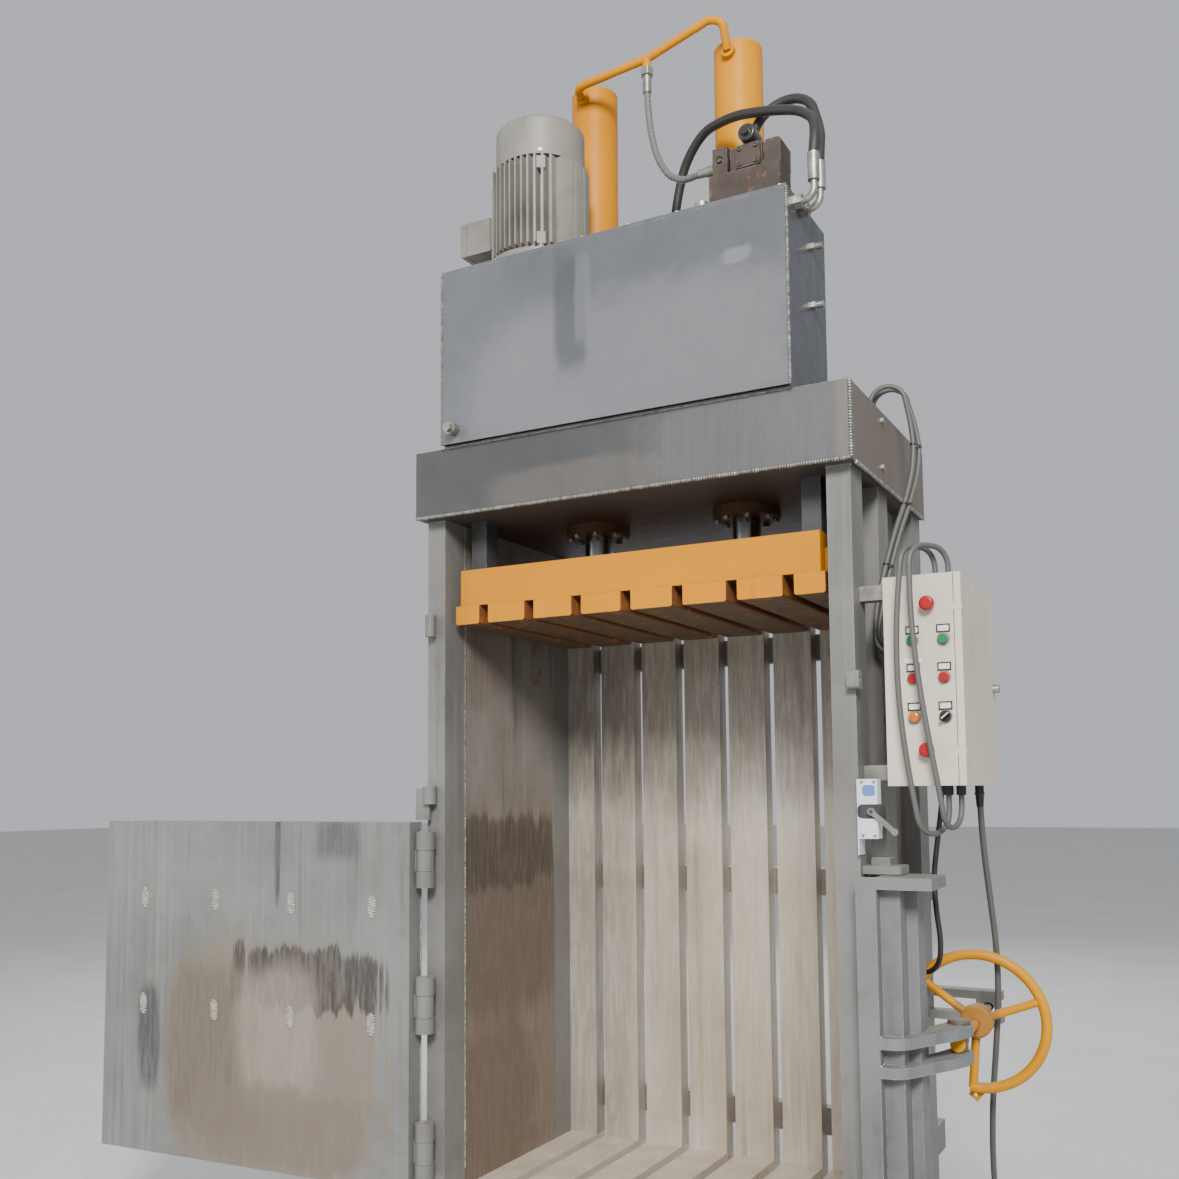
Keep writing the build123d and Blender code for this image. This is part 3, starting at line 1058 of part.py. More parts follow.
def button_places():
    """Centres (x, z) of every control on the narrow front of the cabinet."""
    places = {
        "emergency_top": TOP_EMERGENCY,
        "emergency_low": LOW_EMERGENCY,
        "start_button_right": (RIGHT_COLUMN, ROW_LEVELS[0]),
        "stop_button_right": (RIGHT_COLUMN, ROW_LEVELS[1]),
        "selector_switch": (RIGHT_COLUMN, ROW_LEVELS[2]),
        "start_button_left": (LEFT_COLUMN, ROW_LEVELS[0]),
        "stop_button_left": (LEFT_COLUMN, ROW_LEVELS[1]),
        "amber_lamp": (LEFT_COLUMN, ROW_LEVELS[2]),
    }
    return places


def cabinet_body():
    """Steel enclosure, open on its right side behind the door, with rolled lips and control holes."""
    x = (CABINET_LEFT, CABINET_RIGHT)
    y = (CABINET_FRONT, CABINET_BACK)
    z = (CABINET_BOTTOM, CABINET_TOP)
    w = CABINET_WALL
    shell = block(x, y, z)
    shell -= block((x[0] + w, x[1] - w), (y[0] + w, y[1] - w), (z[0] + w, z[1] - w))
    lip = CABINET_LIP
    shell -= block((x[1] - w, x[1]), (y[0] + lip, y[1] - lip), (z[0] + lip, z[1] - lip))
    for place_x, place_z in button_places().values():
        shell -= along_y(place_x, place_z, (y[0], y[0] + w), BUTTON_RADIUS + BUTTON_BORE_GAP + 1)
    for level in CABINET_EYES:
        shell += hinge_eye(level)
    return shell


def hinge_eye(level):
    """Flat eye on the cabinet's side that holds the rod of its door."""
    half = CABINET_EYE_RADIUS
    arm = block((CABINET_RIGHT - CABINET_WALL, CABINET_PIN_X), (CABINET_PIN_Y - half, CABINET_PIN_Y + half), level)
    arm += upright(CABINET_PIN_X, CABINET_PIN_Y, level, half)
    return arm - upright(CABINET_PIN_X, CABINET_PIN_Y, level, CABINET_PIN_RADIUS + RUNNING_CLEARANCE)


def button_bezels():
    """Round collars and nameplate frames of the controls, and the amber lamp."""
    parts = []
    face = CABINET_FRONT
    for name, (x, z) in button_places().items():
        ring = along_y(x, z, (face - BEZEL_DEPTH, face), BEZEL_RADIUS)
        ring += along_y(x, z, (face, face + BUTTON_STEM), BUTTON_RADIUS + BUTTON_BORE_GAP + 1)
        if name == "amber_lamp":
            lens = along_y(x, z, (face - BEZEL_DEPTH - 9, face - BEZEL_DEPTH), BUTTON_RADIUS)
            ring += fillet(lens.edges().group_by(Axis.Y)[0], 3)
        else:
            bore = BUTTON_RADIUS - 1 + BUTTON_BORE_GAP
            ring -= along_y(x, z, (face - BEZEL_DEPTH, face + BUTTON_STEM), bore)
        if "emergency" not in name:
            wide, tall, thick = NAMEPLATE
            ring += block((x - wide / 2, x + wide / 2), (face - thick, face),
                          (z + NAMEPLATE_RISE - tall / 2, z + NAMEPLATE_RISE + tall / 2))
            ring += block((x - 8, x + 8), (face - thick, face), (z + 10, z + NAMEPLATE_RISE))
            if name != "amber_lamp":
                bore = BUTTON_RADIUS - 1 + BUTTON_BORE_GAP
                ring -= along_y(x, z, (face - BEZEL_DEPTH, face + BUTTON_STEM), bore)
        parts.append(ring)
    return parts


def push_button(x, z):
    """Flat round push button with its stem through the bezel."""
    face = CABINET_FRONT - BEZEL_DEPTH
    cap = along_y(x, z, (face - 8, face - 4.5), BUTTON_RADIUS)
    cap = fillet(cap.edges().group_by(Axis.Y)[0], 1.5)
    return cap + along_y(x, z, (face - 4.5, face + BUTTON_STEM - 12), BUTTON_RADIUS - 1)


def mushroom_button(x, z):
    """Mushroom-headed stop button with its stem through the bezel."""
    face = CABINET_FRONT - BEZEL_DEPTH
    head = along_y(x, z, (face - 22, face - 6), MUSHROOM_RADIUS)
    head = fillet(head.edges().group_by(Axis.Y)[0], 6)
    return head + along_y(x, z, (face - 6, face + BUTTON_STEM - 12), BUTTON_RADIUS - 1)


def selector_switch(x, z):
    """Rotary selector with a raised finger bar."""
    face = CABINET_FRONT - BEZEL_DEPTH
    knob = along_y(x, z, (face - 6, face - 1), BUTTON_RADIUS + 1)
    bar = Pos(x, face - 11, z) * Rot(0, -40, 0) * Box(27, 12, 7)
    knob += fillet(bar.edges().filter_by(Axis.Y), 2)
    return knob + along_y(x, z, (face - 1, face + BUTTON_STEM - 12), BUTTON_RADIUS - 1)


def cabinet_door():
    """Pan-shaped door on the cabinet's right side, on a rod in its front corner."""
    x = (CABINET_RIGHT + CABINET_DOOR_GAP, CABINET_RIGHT + CABINET_DOOR_DEPTH)
    y = (CABINET_FRONT, CABINET_BACK)
    z = (CABINET_BOTTOM, CABINET_TOP)
    w = CABINET_WALL
    pan = block(x, y, z)
    pan = fillet(pan.edges().filter_by(Axis.Z).group_by(Axis.X)[-1], 3)
    pan -= block((x[0], x[1] - w), (y[0] + w, y[1] - w), (z[0] + w, z[1] - w))
    pan -= along_x(LOCK_Y, (z[0] + z[1]) / 2, (x[1] - w, x[1]), LOCK_RADIUS - 3 + RUNNING_CLEARANCE)
    for low, high in CABINET_EYES:
        gap = CABINET_EYE_GAP
        pan -= block((x[0], x[1]), (y[0], CABINET_PIN_Y + CABINET_EYE_RADIUS + 2 * gap), (low - gap, high + gap))
    return pan + upright(CABINET_PIN_X, CABINET_PIN_Y, z, CABINET_PIN_RADIUS)


def cabinet_lock():
    """Quarter-turn lock of the cabinet door with its tongue behind the lip."""
    z = (CABINET_BOTTOM + CABINET_TOP) / 2
    outside = CABINET_RIGHT + CABINET_DOOR_DEPTH
    lock = along_x(LOCK_Y, z, (outside + 0.3, outside + LOCK_LENGTH), LOCK_RADIUS)
    lock -= block((outside + LOCK_LENGTH - 5, outside + LOCK_LENGTH), (LOCK_Y - 8, LOCK_Y + 8), (z - 1.5, z + 1.5))
    inside = CABINET_RIGHT - CABINET_WALL - 1
    lock += along_x(LOCK_Y, z, (inside - LOCK_TONGUE[2], outside + 1), LOCK_RADIUS - 3)
    return lock + block((inside - LOCK_TONGUE[2], inside), (LOCK_Y - LOCK_TONGUE[0] / 2, LOCK_Y + LOCK_TONGUE[1] - 16),
                        (z - LOCK_TONGUE[0] / 2, z + LOCK_TONGUE[0] / 2))


def cabinet_brackets():
    """Two angle brackets that hold the cabinet off the right post."""
    parts = []
    for z in BRACKET_LEVELS:
        arm = block((OUTER_X, CABINET_LEFT), BRACKET_Y, (z[0], z[0] + BRACKET_WALL))
        arm += block((OUTER_X, CABINET_LEFT), (BRACKET_Y[0], BRACKET_Y[0] + BRACKET_WALL), z)
        parts.append(arm)
    return parts


def control_gear():
    """Mounting plate in the cabinet with two rails, contactors, breaker, relay and terminals."""
    left = CABINET_LEFT + CABINET_WALL
    plate_x = (left + 10, left + 10 + GEAR_PLATE)
    y = (CABINET_FRONT + 90, CABINET_BACK - 20)
    z = (CABINET_BOTTOM + 26, CABINET_TOP - 26)
    gear = block(plate_x, y, z)
    for corner_y in (y[0] + 14, y[1] - 14):
        for corner_z in (z[0] + 14, z[1] - 14):
            gear += along_x(corner_y, corner_z, (left, plate_x[0]), 6)
    face = plate_x[1]
    for rail_z in (z[0] + 120, z[0] + 300):
        gear += block((face, face + 8), (y[0] + 10, y[1] - 10), (rail_z - 17, rail_z + 17))
    for index in range(3):
        start = y[0] + 24 + index * 56
        gear += block((face + 8, face + 84), (start, start + 45), (z[0] + 84, z[0] + 160))
        gear += block((face + 84, face + 92), (start + 8, start + 37), (z[0] + 104, z[0] + 140))
    gear += block((face + 8, face + 76), (y[0] + 24, y[0] + 78), (z[0] + 258, z[0] + 340))
    gear += block((face + 76, face + 84), (y[0] + 36, y[0] + 66), (z[0] + 290, z[0] + 308))
    for index in range(2):
        start = y[0] + 100 + index * 40
        gear += block((face + 8, face + 70), (start, start + 32), (z[0] + 264, z[0] + 334))
    for index in range(12):
        start = y[0] + 20 + index * 18
        gear += block((face, face + 38), (start, start + 15), (z[0] + 16, z[0] + 56))
    return gear


def above(level, points):
    """Points of a route whose Z is counted from a level of the frame."""
    return [(x, y, level + z) for x, y, z in points]


def beside(face, points):
    """Points of a route whose X is counted from a face of the frame or of the cabinet."""
    return [(face + x, y, z) for x, y, z in points]


# Cable and hose routes, chosen by eye along the photographed lines
TEE_HOSE_ROUTE = [
    (5, 195, TEE_Z - 104), (8, 193, 3325), (17, 189, 3250), (40, 180, 3160), (84, 164, 3085),
    (140, 140, 3046), (194, 120, SIDE_VALVE_TOP - 36),
]
CYLINDER_HOSE_ROUTE = above(FERRULE_TOP, [
    (550, 10, 0), (554, 14, 50), (543, 46, 112), (488, 86, 172), (394, 112, 210),
    (278, 165, 257), (165, 222, 272), (92, 256, 210), (54, 276, 100), (30, 296, -30),
]) + above(LOWER_PIPE_Z, [(14, 312, 350), (3, 322, 220), (0, 325, 110)])
RETURN_HOSE_START = (342.0, 147.0, VALVE_TOP + 26.0)
RETURN_HOSE_ARCH = 88.0
RETURN_HOSE_SWAY = 20.0
RETURN_HOSE_END = above(FERRULE_TOP, [(529, 128, 142), (543, 98, 94), (549, 70, 47), (550, 60, 0)])
CABLE_BEND = 45.0
CROWN_CABLE_STARTS = ((-25, 290.0), (-25, 322.0))
CROWN_CABLE_FALLS = (
    [(74, 317, 2322), (80, 320, 2262), (77, 312, 2190), (63, 288, 2110), (44, 252, 2030),
     (28, 224, 1950), (12, 206, 1870), (1, 198, 1805)],
    [(79, 350, 2320), (89, 350, 2256), (85, 334, 2184), (69, 302, 2100), (49, 266, 2015),
     (31, 243, 1930), (13, 231, 1845), (1, 226, 1780)],
)
CROWN_CABLE_ENDS = ((196.0, 1700.0), (224.0, 1715.0))
LOOP_CABLE_TOPS = (((110, 86.0), (52, -17.0)), ((142, 78.0), (73, -19.0)))
LOOP_CABLE_FALLS = (
    [(44, -20, 1800), (39, -19, 1720), (38, -18, 1630), (42, -17, 1540), (51, -16, 1450), (62, -14, 1370)],
    [(73, -20, 1790), (78, -20, 1700), (87, -19, 1610), (99, -18, 1520), (112, -16, 1435), (123, -14, 1365)],
)
LOOP_CABLE_ENDS = (((72, -11.0), (128, 72.0), 1306.0), ((130, -11.0), (155, 80.0), 1318.0))
SIDE_CABLE_ROUTE = beside(CABINET_LEFT, [
    (86, 190, 1346), (84, 190, 1310), (72, 190, 1230), (62, 186, 1150), (66, 182, 1070),
    (74, 186, 1000), (68, 204, 945), (40, 240, 912), (2, 276, 903), (-38, 296, 902),
])
SUPPLY_CABLE_ROUTE = beside(CABINET_LEFT, [
    (138, 396, 1346), (138, 400, 1305), (136, 434, 1210), (139, 482, 1082), (146, 516, 945),
    (144, 530, 812), (132, 542, 688), (116, 566, 566), (103, 604, 450), (94, 650, 340),
    (88, 702, 238), (83, 752, 146), (78, 794, 72), (74, 836, 22),
])
TOP_GLAND = 10.0
BOTTOM_GLAND = 22.0


def arc_points(centre, across, radius, start, end, steps):
    """Points on an upright arc; the angle is counted from the level direction across, upwards."""
    points = []
    for index in range(steps + 1):
        angle = radians(start + (end - start) * index / steps)
        level = radius * cos(angle)
        points.append((centre[0] + level * across[0], centre[1] + level * across[1],
                       centre[2] + radius * sin(angle)))
    return points


def crown_cable_route(start, fall, end):
    """From a gland on the crown over its edge, down beside the post, and into the cabinet's side."""
    x, y = OUTER_X + start[0], start[1]
    arch = arc_points((x + CABLE_BEND, y + 10, CROWN_TOP + 36), (-1, -0.2), CABLE_BEND, 0, 180, 8)
    gland = (CABINET_LEFT - BOTTOM_GLAND, end[0], end[1] + CABLE_BEND)
    turn = arc_points(gland, (-1, 0), CABLE_BEND, 0, -90, 4)
    return [(x, y, CROWN_TOP + BOTTOM_GLAND)] + arch + beside(OUTER_X, fall) + turn


def loop_cable_route(top, fall, end):
    """From a gland on the cabinet's roof over its edge, down its front and up into its floor."""
    start, front = [(CABINET_LEFT + x, y) for x, y in top]
    span = hypot(front[0] - start[0], front[1] - start[1])
    toward = ((front[0] - start[0]) / span, (front[1] - start[1]) / span)
    roof = CABINET_TOP + TOP_GLAND
    rise = (start[0] + toward[0] * CABLE_BEND, start[1] + toward[1] * CABLE_BEND, roof + 14)
    drop = (front[0] - toward[0] * CABLE_BEND, front[1] - toward[1] * CABLE_BEND, roof + 14)
    over = arc_points(rise, toward, CABLE_BEND, 180, 90, 4) + arc_points(drop, toward, CABLE_BEND, 90, 0, 4)
    near, gland = [(CABINET_LEFT + x, y) for x, y in end[:2]]
    width = hypot(gland[0] - near[0], gland[1] - near[1])
    across = ((near[0] - gland[0]) / width, (near[1] - gland[1]) / width)
    middle = ((near[0] + gland[0]) / 2, (near[1] + gland[1]) / 2, end[2])
    hang = arc_points(middle, across, width / 2, 0, -180, 7)
    bottom = (gland[0], gland[1], CABINET_BOTTOM - BOTTOM_GLAND)
    return [(start[0], start[1], roof)] + over + beside(CABINET_LEFT, fall) + hang + [bottom]


def return_hose_route():
    """From the valve's top in one arch over to the elbow at the tank's side."""
    x, y, z = RETURN_HOSE_START
    arch = arc_points((x + RETURN_HOSE_ARCH, y, z + 28), (-1, 0), RETURN_HOSE_ARCH, 0, 150, 7)
    swayed = [(px, py + RETURN_HOSE_SWAY * sin(radians(25 * index)), pz) for index, (px, py, pz) in enumerate(arch)]
    return [RETURN_HOSE_START] + swayed + RETURN_HOSE_END


CROWN_CABLE_ROUTES = [crown_cable_route(*parts)
                      for parts in zip(CROWN_CABLE_STARTS, CROWN_CABLE_FALLS, CROWN_CABLE_ENDS)]
LOOP_CABLE_ROUTES = [loop_cable_route(*parts)
                     for parts in zip(LOOP_CABLE_TOPS, LOOP_CABLE_FALLS, LOOP_CABLE_ENDS)]


def cable_fittings():
    """Glands on the crown, the cabinet and the right stiffener, where the cables end."""
    parts = []
    for route in CROWN_CABLE_ROUTES:
        x, y, z = route[0]
        parts.append(upright(x, y, (CROWN_TOP, z), GLAND_SIZE))
        x, y, z = route[-1]
        parts.append(along_x(y, z, (x, CABINET_LEFT), GLAND_SIZE))
    for route in LOOP_CABLE_ROUTES:
        x, y, z = route[0]
        parts.append(upright(x, y, (CABINET_TOP, z), GLAND_SIZE))
        x, y, z = route[-1]
        parts.append(upright(x, y, (z, CABINET_BOTTOM), GLAND_SIZE))
    for x, y, z in (SIDE_CABLE_ROUTE[0], SUPPLY_CABLE_ROUTE[0]):
        parts.append(upright(x, y, (z, CABINET_BOTTOM), GLAND_SIZE))
    x, y, z = SIDE_CABLE_ROUTE[-1]
    parts.append(along_x(y, z, (INNER_X + WALL_THICKNESS + STIFFENER_WIDTH, x), GLAND_SIZE))
    return parts


def supply_coil():
    """Outer shape of the supply cable's neat coil on the ground."""
    ring = Pos(COIL_X, COIL_Y, COIL_TUBE) * Torus(COIL_RADIUS, COIL_TUBE)
    return ring


def supply_plug():
    """Round plug of the supply cable, lying beside the coil."""
    x = COIL_X - COIL_RADIUS - COIL_TUBE - PLUG_RADIUS - 1
    plug = along_y(x, PLUG_RADIUS, (COIL_Y - PLUG_LENGTH / 2, COIL_Y + PLUG_LENGTH / 2), PLUG_RADIUS)
    flat = block((x - PLUG_RADIUS, x + PLUG_RADIUS), (COIL_Y - PLUG_LENGTH, COIL_Y + PLUG_LENGTH), (-1, 0.6))
    return plug - flat


def frame_bolts():
    """Hexagon bolts of the cylinder glands and of the motor flange."""
    bolts = []
    for side in (-1, 1):
        for index in range(8):
            angle = radians(index * 45 + 22.5)
            x = side * CYLINDER_X + (GLAND_RADIUS - 14) * cos(angle)
            y = CYLINDER_Y + (GLAND_RADIUS - 14) * sin(angle)
            bolts.append(hex_nut(x, y, (CROWN_BOTTOM - GLAND_HEIGHT - 9, CROWN_BOTTOM - GLAND_HEIGHT), 10))
    for index in range(4):
        angle = radians(index * 90 + 31)
        x = MOTOR_X + (MOTOR_FLANGE_RADIUS - 13) * cos(angle)
        y = MOTOR_Y + (MOTOR_FLANGE_RADIUS - 13) * sin(angle)
        top = TANK_TOP + MOTOR_FLANGE_HEIGHT
        bolts.append(hex_nut(x, y, (top, top + 9), 10))
    return bolts


def save(name, shape):
    """Move a sub-part, or a list of solids, to the part's origin and write its STEP file."""
    solids = shape if isinstance(shape, list) else [shape]
    placed = [TO_ORIGIN * solid for solid in solids]
    bodies = [body for piece in placed for body in piece.solids()]
    whole = bodies[0] if len(bodies) == 1 else Compound(children=bodies)
    whole.label = name
    export_step(whole, f"parts/{name}.step")


def main():
    """Build every sub-part and write it."""
    os.makedirs("parts", exist_ok=True)
    places = button_places()
    pieces = {
        "base_frame": base_frame(),
        "front_posts": posts(0.0),
        "rear_posts": posts(CHAMBER_DEPTH - POST_DEPTH),
        "side_walls": side_walls(),
        "wall_stiffeners": wall_stiffeners(),
        "rear_slats": rear_slats(),
        "floor_bars": floor_bars(),
        "crown_beam": crown_beam(),
        "oil_tank": oil_tank(),
        "tank_lid": tank_lid(),
        "tank_plugs": tank_plugs(),
        "cylinders": mirrored(cylinder()),
        "pressure_pipes": pressure_pipes(),
        "hose_fittings": hose_fittings(),
        "valve_block": valve_block(),
        "valve_cap": valve_cap(),
        "valve_solenoid": valve_solenoid(),
        "motor_body": [motor_body(), terminal_box()],
        "fan_cover": fan_cover(),
        "motor_fan": motor_fan(),
        "oil_pump": oil_pump(),
        "post_hinges": post_hinges(),
        "door_plate": door_plate(),
        "door_ribs": door_ribs(),
        "platen_frame": platen_frame(),
        "platen_runners": platen_runners(),
        "piston_rods": piston_rods(),
        "clamp_jaw": clamp_jaw(),
        "clamp_pin": clamp_pin(),
        "clamp_brackets": clamp_brackets(),
        "screw_trunnion": screw_trunnion(),
        "handwheel": handwheel(),
        "switch_body": switch_body(),
        "switch_lever": switch_lever(),
        "cabinet_body": cabinet_body(),
        "cabinet_door": cabinet_door(),
        "cabinet_lock": cabinet_lock(),
        "cabinet_brackets": cabinet_brackets(),
        "control_gear": control_gear(),
        "button_bezels": button_bezels(),
        "emergency_top": mushroom_button(*places["emergency_top"]),
        "emergency_low": mushroom_button(*places["emergency_low"]),
        "start_button_right": push_button(*places["start_button_right"]),
        "stop_button_right": push_button(*places["stop_button_right"]),
        "start_button_left": push_button(*places["start_button_left"]),
        "stop_button_left": push_button(*places["stop_button_left"]),
        "selector_switch": selector_switch(*places["selector_switch"]),
        "cable_fittings": cable_fittings(),
        "frame_bolts": frame_bolts(),
        "valve_hose": cord("valve_hose", TEE_HOSE_ROUTE, VALVE_HOSE_RADIUS),
        "cylinder_hose": cord("cylinder_hose", CYLINDER_HOSE_ROUTE, HOSE_RADIUS),
        "return_hose": cord("return_hose", return_hose_route(), HOSE_RADIUS),
        "crown_cable_1": cord("crown_cable_1", CROWN_CABLE_ROUTES[0], CABLE_RADIUS),
        "crown_cable_2": cord("crown_cable_2", CROWN_CABLE_ROUTES[1], CABLE_RADIUS),
        "loop_cable_1": cord("loop_cable_1", LOOP_CABLE_ROUTES[0], CABLE_RADIUS),
        "loop_cable_2": cord("loop_cable_2", LOOP_CABLE_ROUTES[1], CABLE_RADIUS),
        "side_cable": cord("side_cable", SIDE_CABLE_ROUTE, CABLE_RADIUS),
        "supply_cable": cord("supply_cable", SUPPLY_CABLE_ROUTE, SUPPLY_RADIUS),
        "supply_coil": supply_coil(),
        "supply_plug": supply_plug(),
    }
    for name, shape in pieces.items():
        save(name, shape)
    print(len(pieces), "sub-parts written")


main()
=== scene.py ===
"""Looks of the scrap press: finishes, weld beads, legends, ties, supply cable, floor, light, camera."""

import logging
from dataclasses import dataclass, field, replace
from enum import Enum
from math import cos, pi, radians, sin
from typing import Callable, Sequence

import bmesh
import bpy
from mathutils import Matrix, Vector


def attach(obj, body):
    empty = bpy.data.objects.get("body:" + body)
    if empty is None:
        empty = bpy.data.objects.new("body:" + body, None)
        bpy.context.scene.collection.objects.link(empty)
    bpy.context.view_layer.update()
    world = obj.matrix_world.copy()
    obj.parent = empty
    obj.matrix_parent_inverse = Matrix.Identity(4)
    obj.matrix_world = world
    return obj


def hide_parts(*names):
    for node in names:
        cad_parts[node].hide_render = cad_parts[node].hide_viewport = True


logging.basicConfig(level=logging.INFO, format="%(name)s: %(message)s")
log = logging.getLogger("press")

Triple = tuple[float, float, float]
Socket = bpy.types.NodeSocket
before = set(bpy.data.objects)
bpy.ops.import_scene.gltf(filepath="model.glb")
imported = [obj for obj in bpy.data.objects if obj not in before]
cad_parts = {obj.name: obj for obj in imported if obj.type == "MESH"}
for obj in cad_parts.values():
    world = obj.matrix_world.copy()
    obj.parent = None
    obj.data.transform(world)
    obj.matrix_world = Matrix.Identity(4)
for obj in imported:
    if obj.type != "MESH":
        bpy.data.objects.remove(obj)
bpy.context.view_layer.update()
DEPTH_SHIFT = -0.403  # from the drawing's zero on the posts' front faces to the middle of the base


def place(x: float, y: float, z: float) -> Triple:
    """Point of the drawing, in millimetres from the posts' front faces, in metres of the frame."""
    return (x / 1000, y / 1000 + DEPTH_SHIFT, z / 1000)


def linear(red: int, green: int, blue: int) -> tuple[float, float, float, float]:
    """Colour as the eye reads it on a screen, 0 to 255, turned into the light values of a shader."""
    def one(value: int) -> float:
        """One channel of the colour."""
        share = value / 255
        return share / 12.92 if share <= 0.04045 else ((share + 0.055) / 1.055) ** 2.4
    return (one(red), one(green), one(blue), 1.0)


# Shader groups


class Effect(Enum):
    """Surface effects shared by several finishes."""

    EDGE_WEAR = "edge_wear"
    RUN_MARKS = "run_marks"
    BLOTCHES = "blotches"
    BRUSHING = "brushing"
    TOP_DUST = "top_dust"
    LOCAL_STAIN_OR_SHADE = "local_stain_or_shade"
    FACING = "facing"
    FINE_GRAIN = "fine_grain"
    WEAVE = "weave"


class Board:
    """Adds and joins the nodes of one shader tree."""

    def __init__(self, tree: bpy.types.NodeTree) -> None:
        """Keep the tree that the nodes go into."""
        self.tree = tree

    def add(self, kind: str, **settings: object) -> bpy.types.Node:
        """Add one node.

        Args:
            kind: Blender's name of the node type.
            settings: properties to set on it.

        Returns:
            The new node.
        """
        node = self.tree.nodes.new(kind)
        for name, value in settings.items():
            setattr(node, name, value)
        return node

    def feed(self, target: Socket, value: object) -> None:
        """Join a socket to the target, or set the target to a plain value."""
        if isinstance(value, bpy.types.NodeSocket):
            self.tree.links.new(value, target)
        else:
            target.default_value = value

    def math(self, operation: str, first: object, second: object = 0.0, clamp: bool = False) -> Socket:
        """Result of one sum on two numbers."""
        node = self.add("ShaderNodeMath", operation=operation, use_clamp=clamp)
        self.feed(node.inputs[0], first)
        self.feed(node.inputs[1], second)
        return node.outputs[0]

    def vector(self, operation: str, first: object, second: object) -> bpy.types.Node:
        """Node of one sum on two vectors."""
        node = self.add("ShaderNodeVectorMath", operation=operation)
        self.feed(node.inputs[0], first)
        self.feed(node.inputs[1], second)
        return node

    def step(self, value: object, low: object, high: object) -> Socket:
        """Smooth rise from 0 at low to 1 at high."""
        node = self.add("ShaderNodeMapRange", interpolation_type="SMOOTHSTEP")
        self.feed(node.inputs["Value"], value)
        self.feed(node.inputs["From Min"], low)
        self.feed(node.inputs["From Max"], high)
        return node.outputs["Result"]

    def noise(self, where: object, scale: object, detail: float = 4.0, rough: float = 0.55) -> Socket:
        """Even noise from 0 to 1 at the given size."""
        node = self.add("ShaderNodeTexNoise")
        self.feed(node.inputs["Vector"], where)
        self.feed(node.inputs["Scale"], scale)
        node.inputs["Detail"].default_value = detail
        node.inputs["Roughness"].default_value = rough
        return node.outputs[0]

    def blend(self, share: object, under: object, over: object) -> Socket:
        """Colour that goes from under to over by the share."""
        node = self.add("ShaderNodeMix", data_type="RGBA")
        self.feed(node.inputs["Factor"], share)
        self.feed(node.inputs[6], under)
        self.feed(node.inputs[7], over)
        return node.outputs[2]

    def point(self) -> Socket:
        """Place on the object, in metres."""
        return self.add("ShaderNodeTexCoord").outputs["Object"]

    def stretched(self, scale: Triple) -> Socket:
        """Place on the object with each direction scaled by itself."""
        node = self.add("ShaderNodeMapping")
        self.feed(node.inputs["Vector"], self.point())
        node.inputs["Scale"].default_value = scale
        return node.outputs["Vector"]


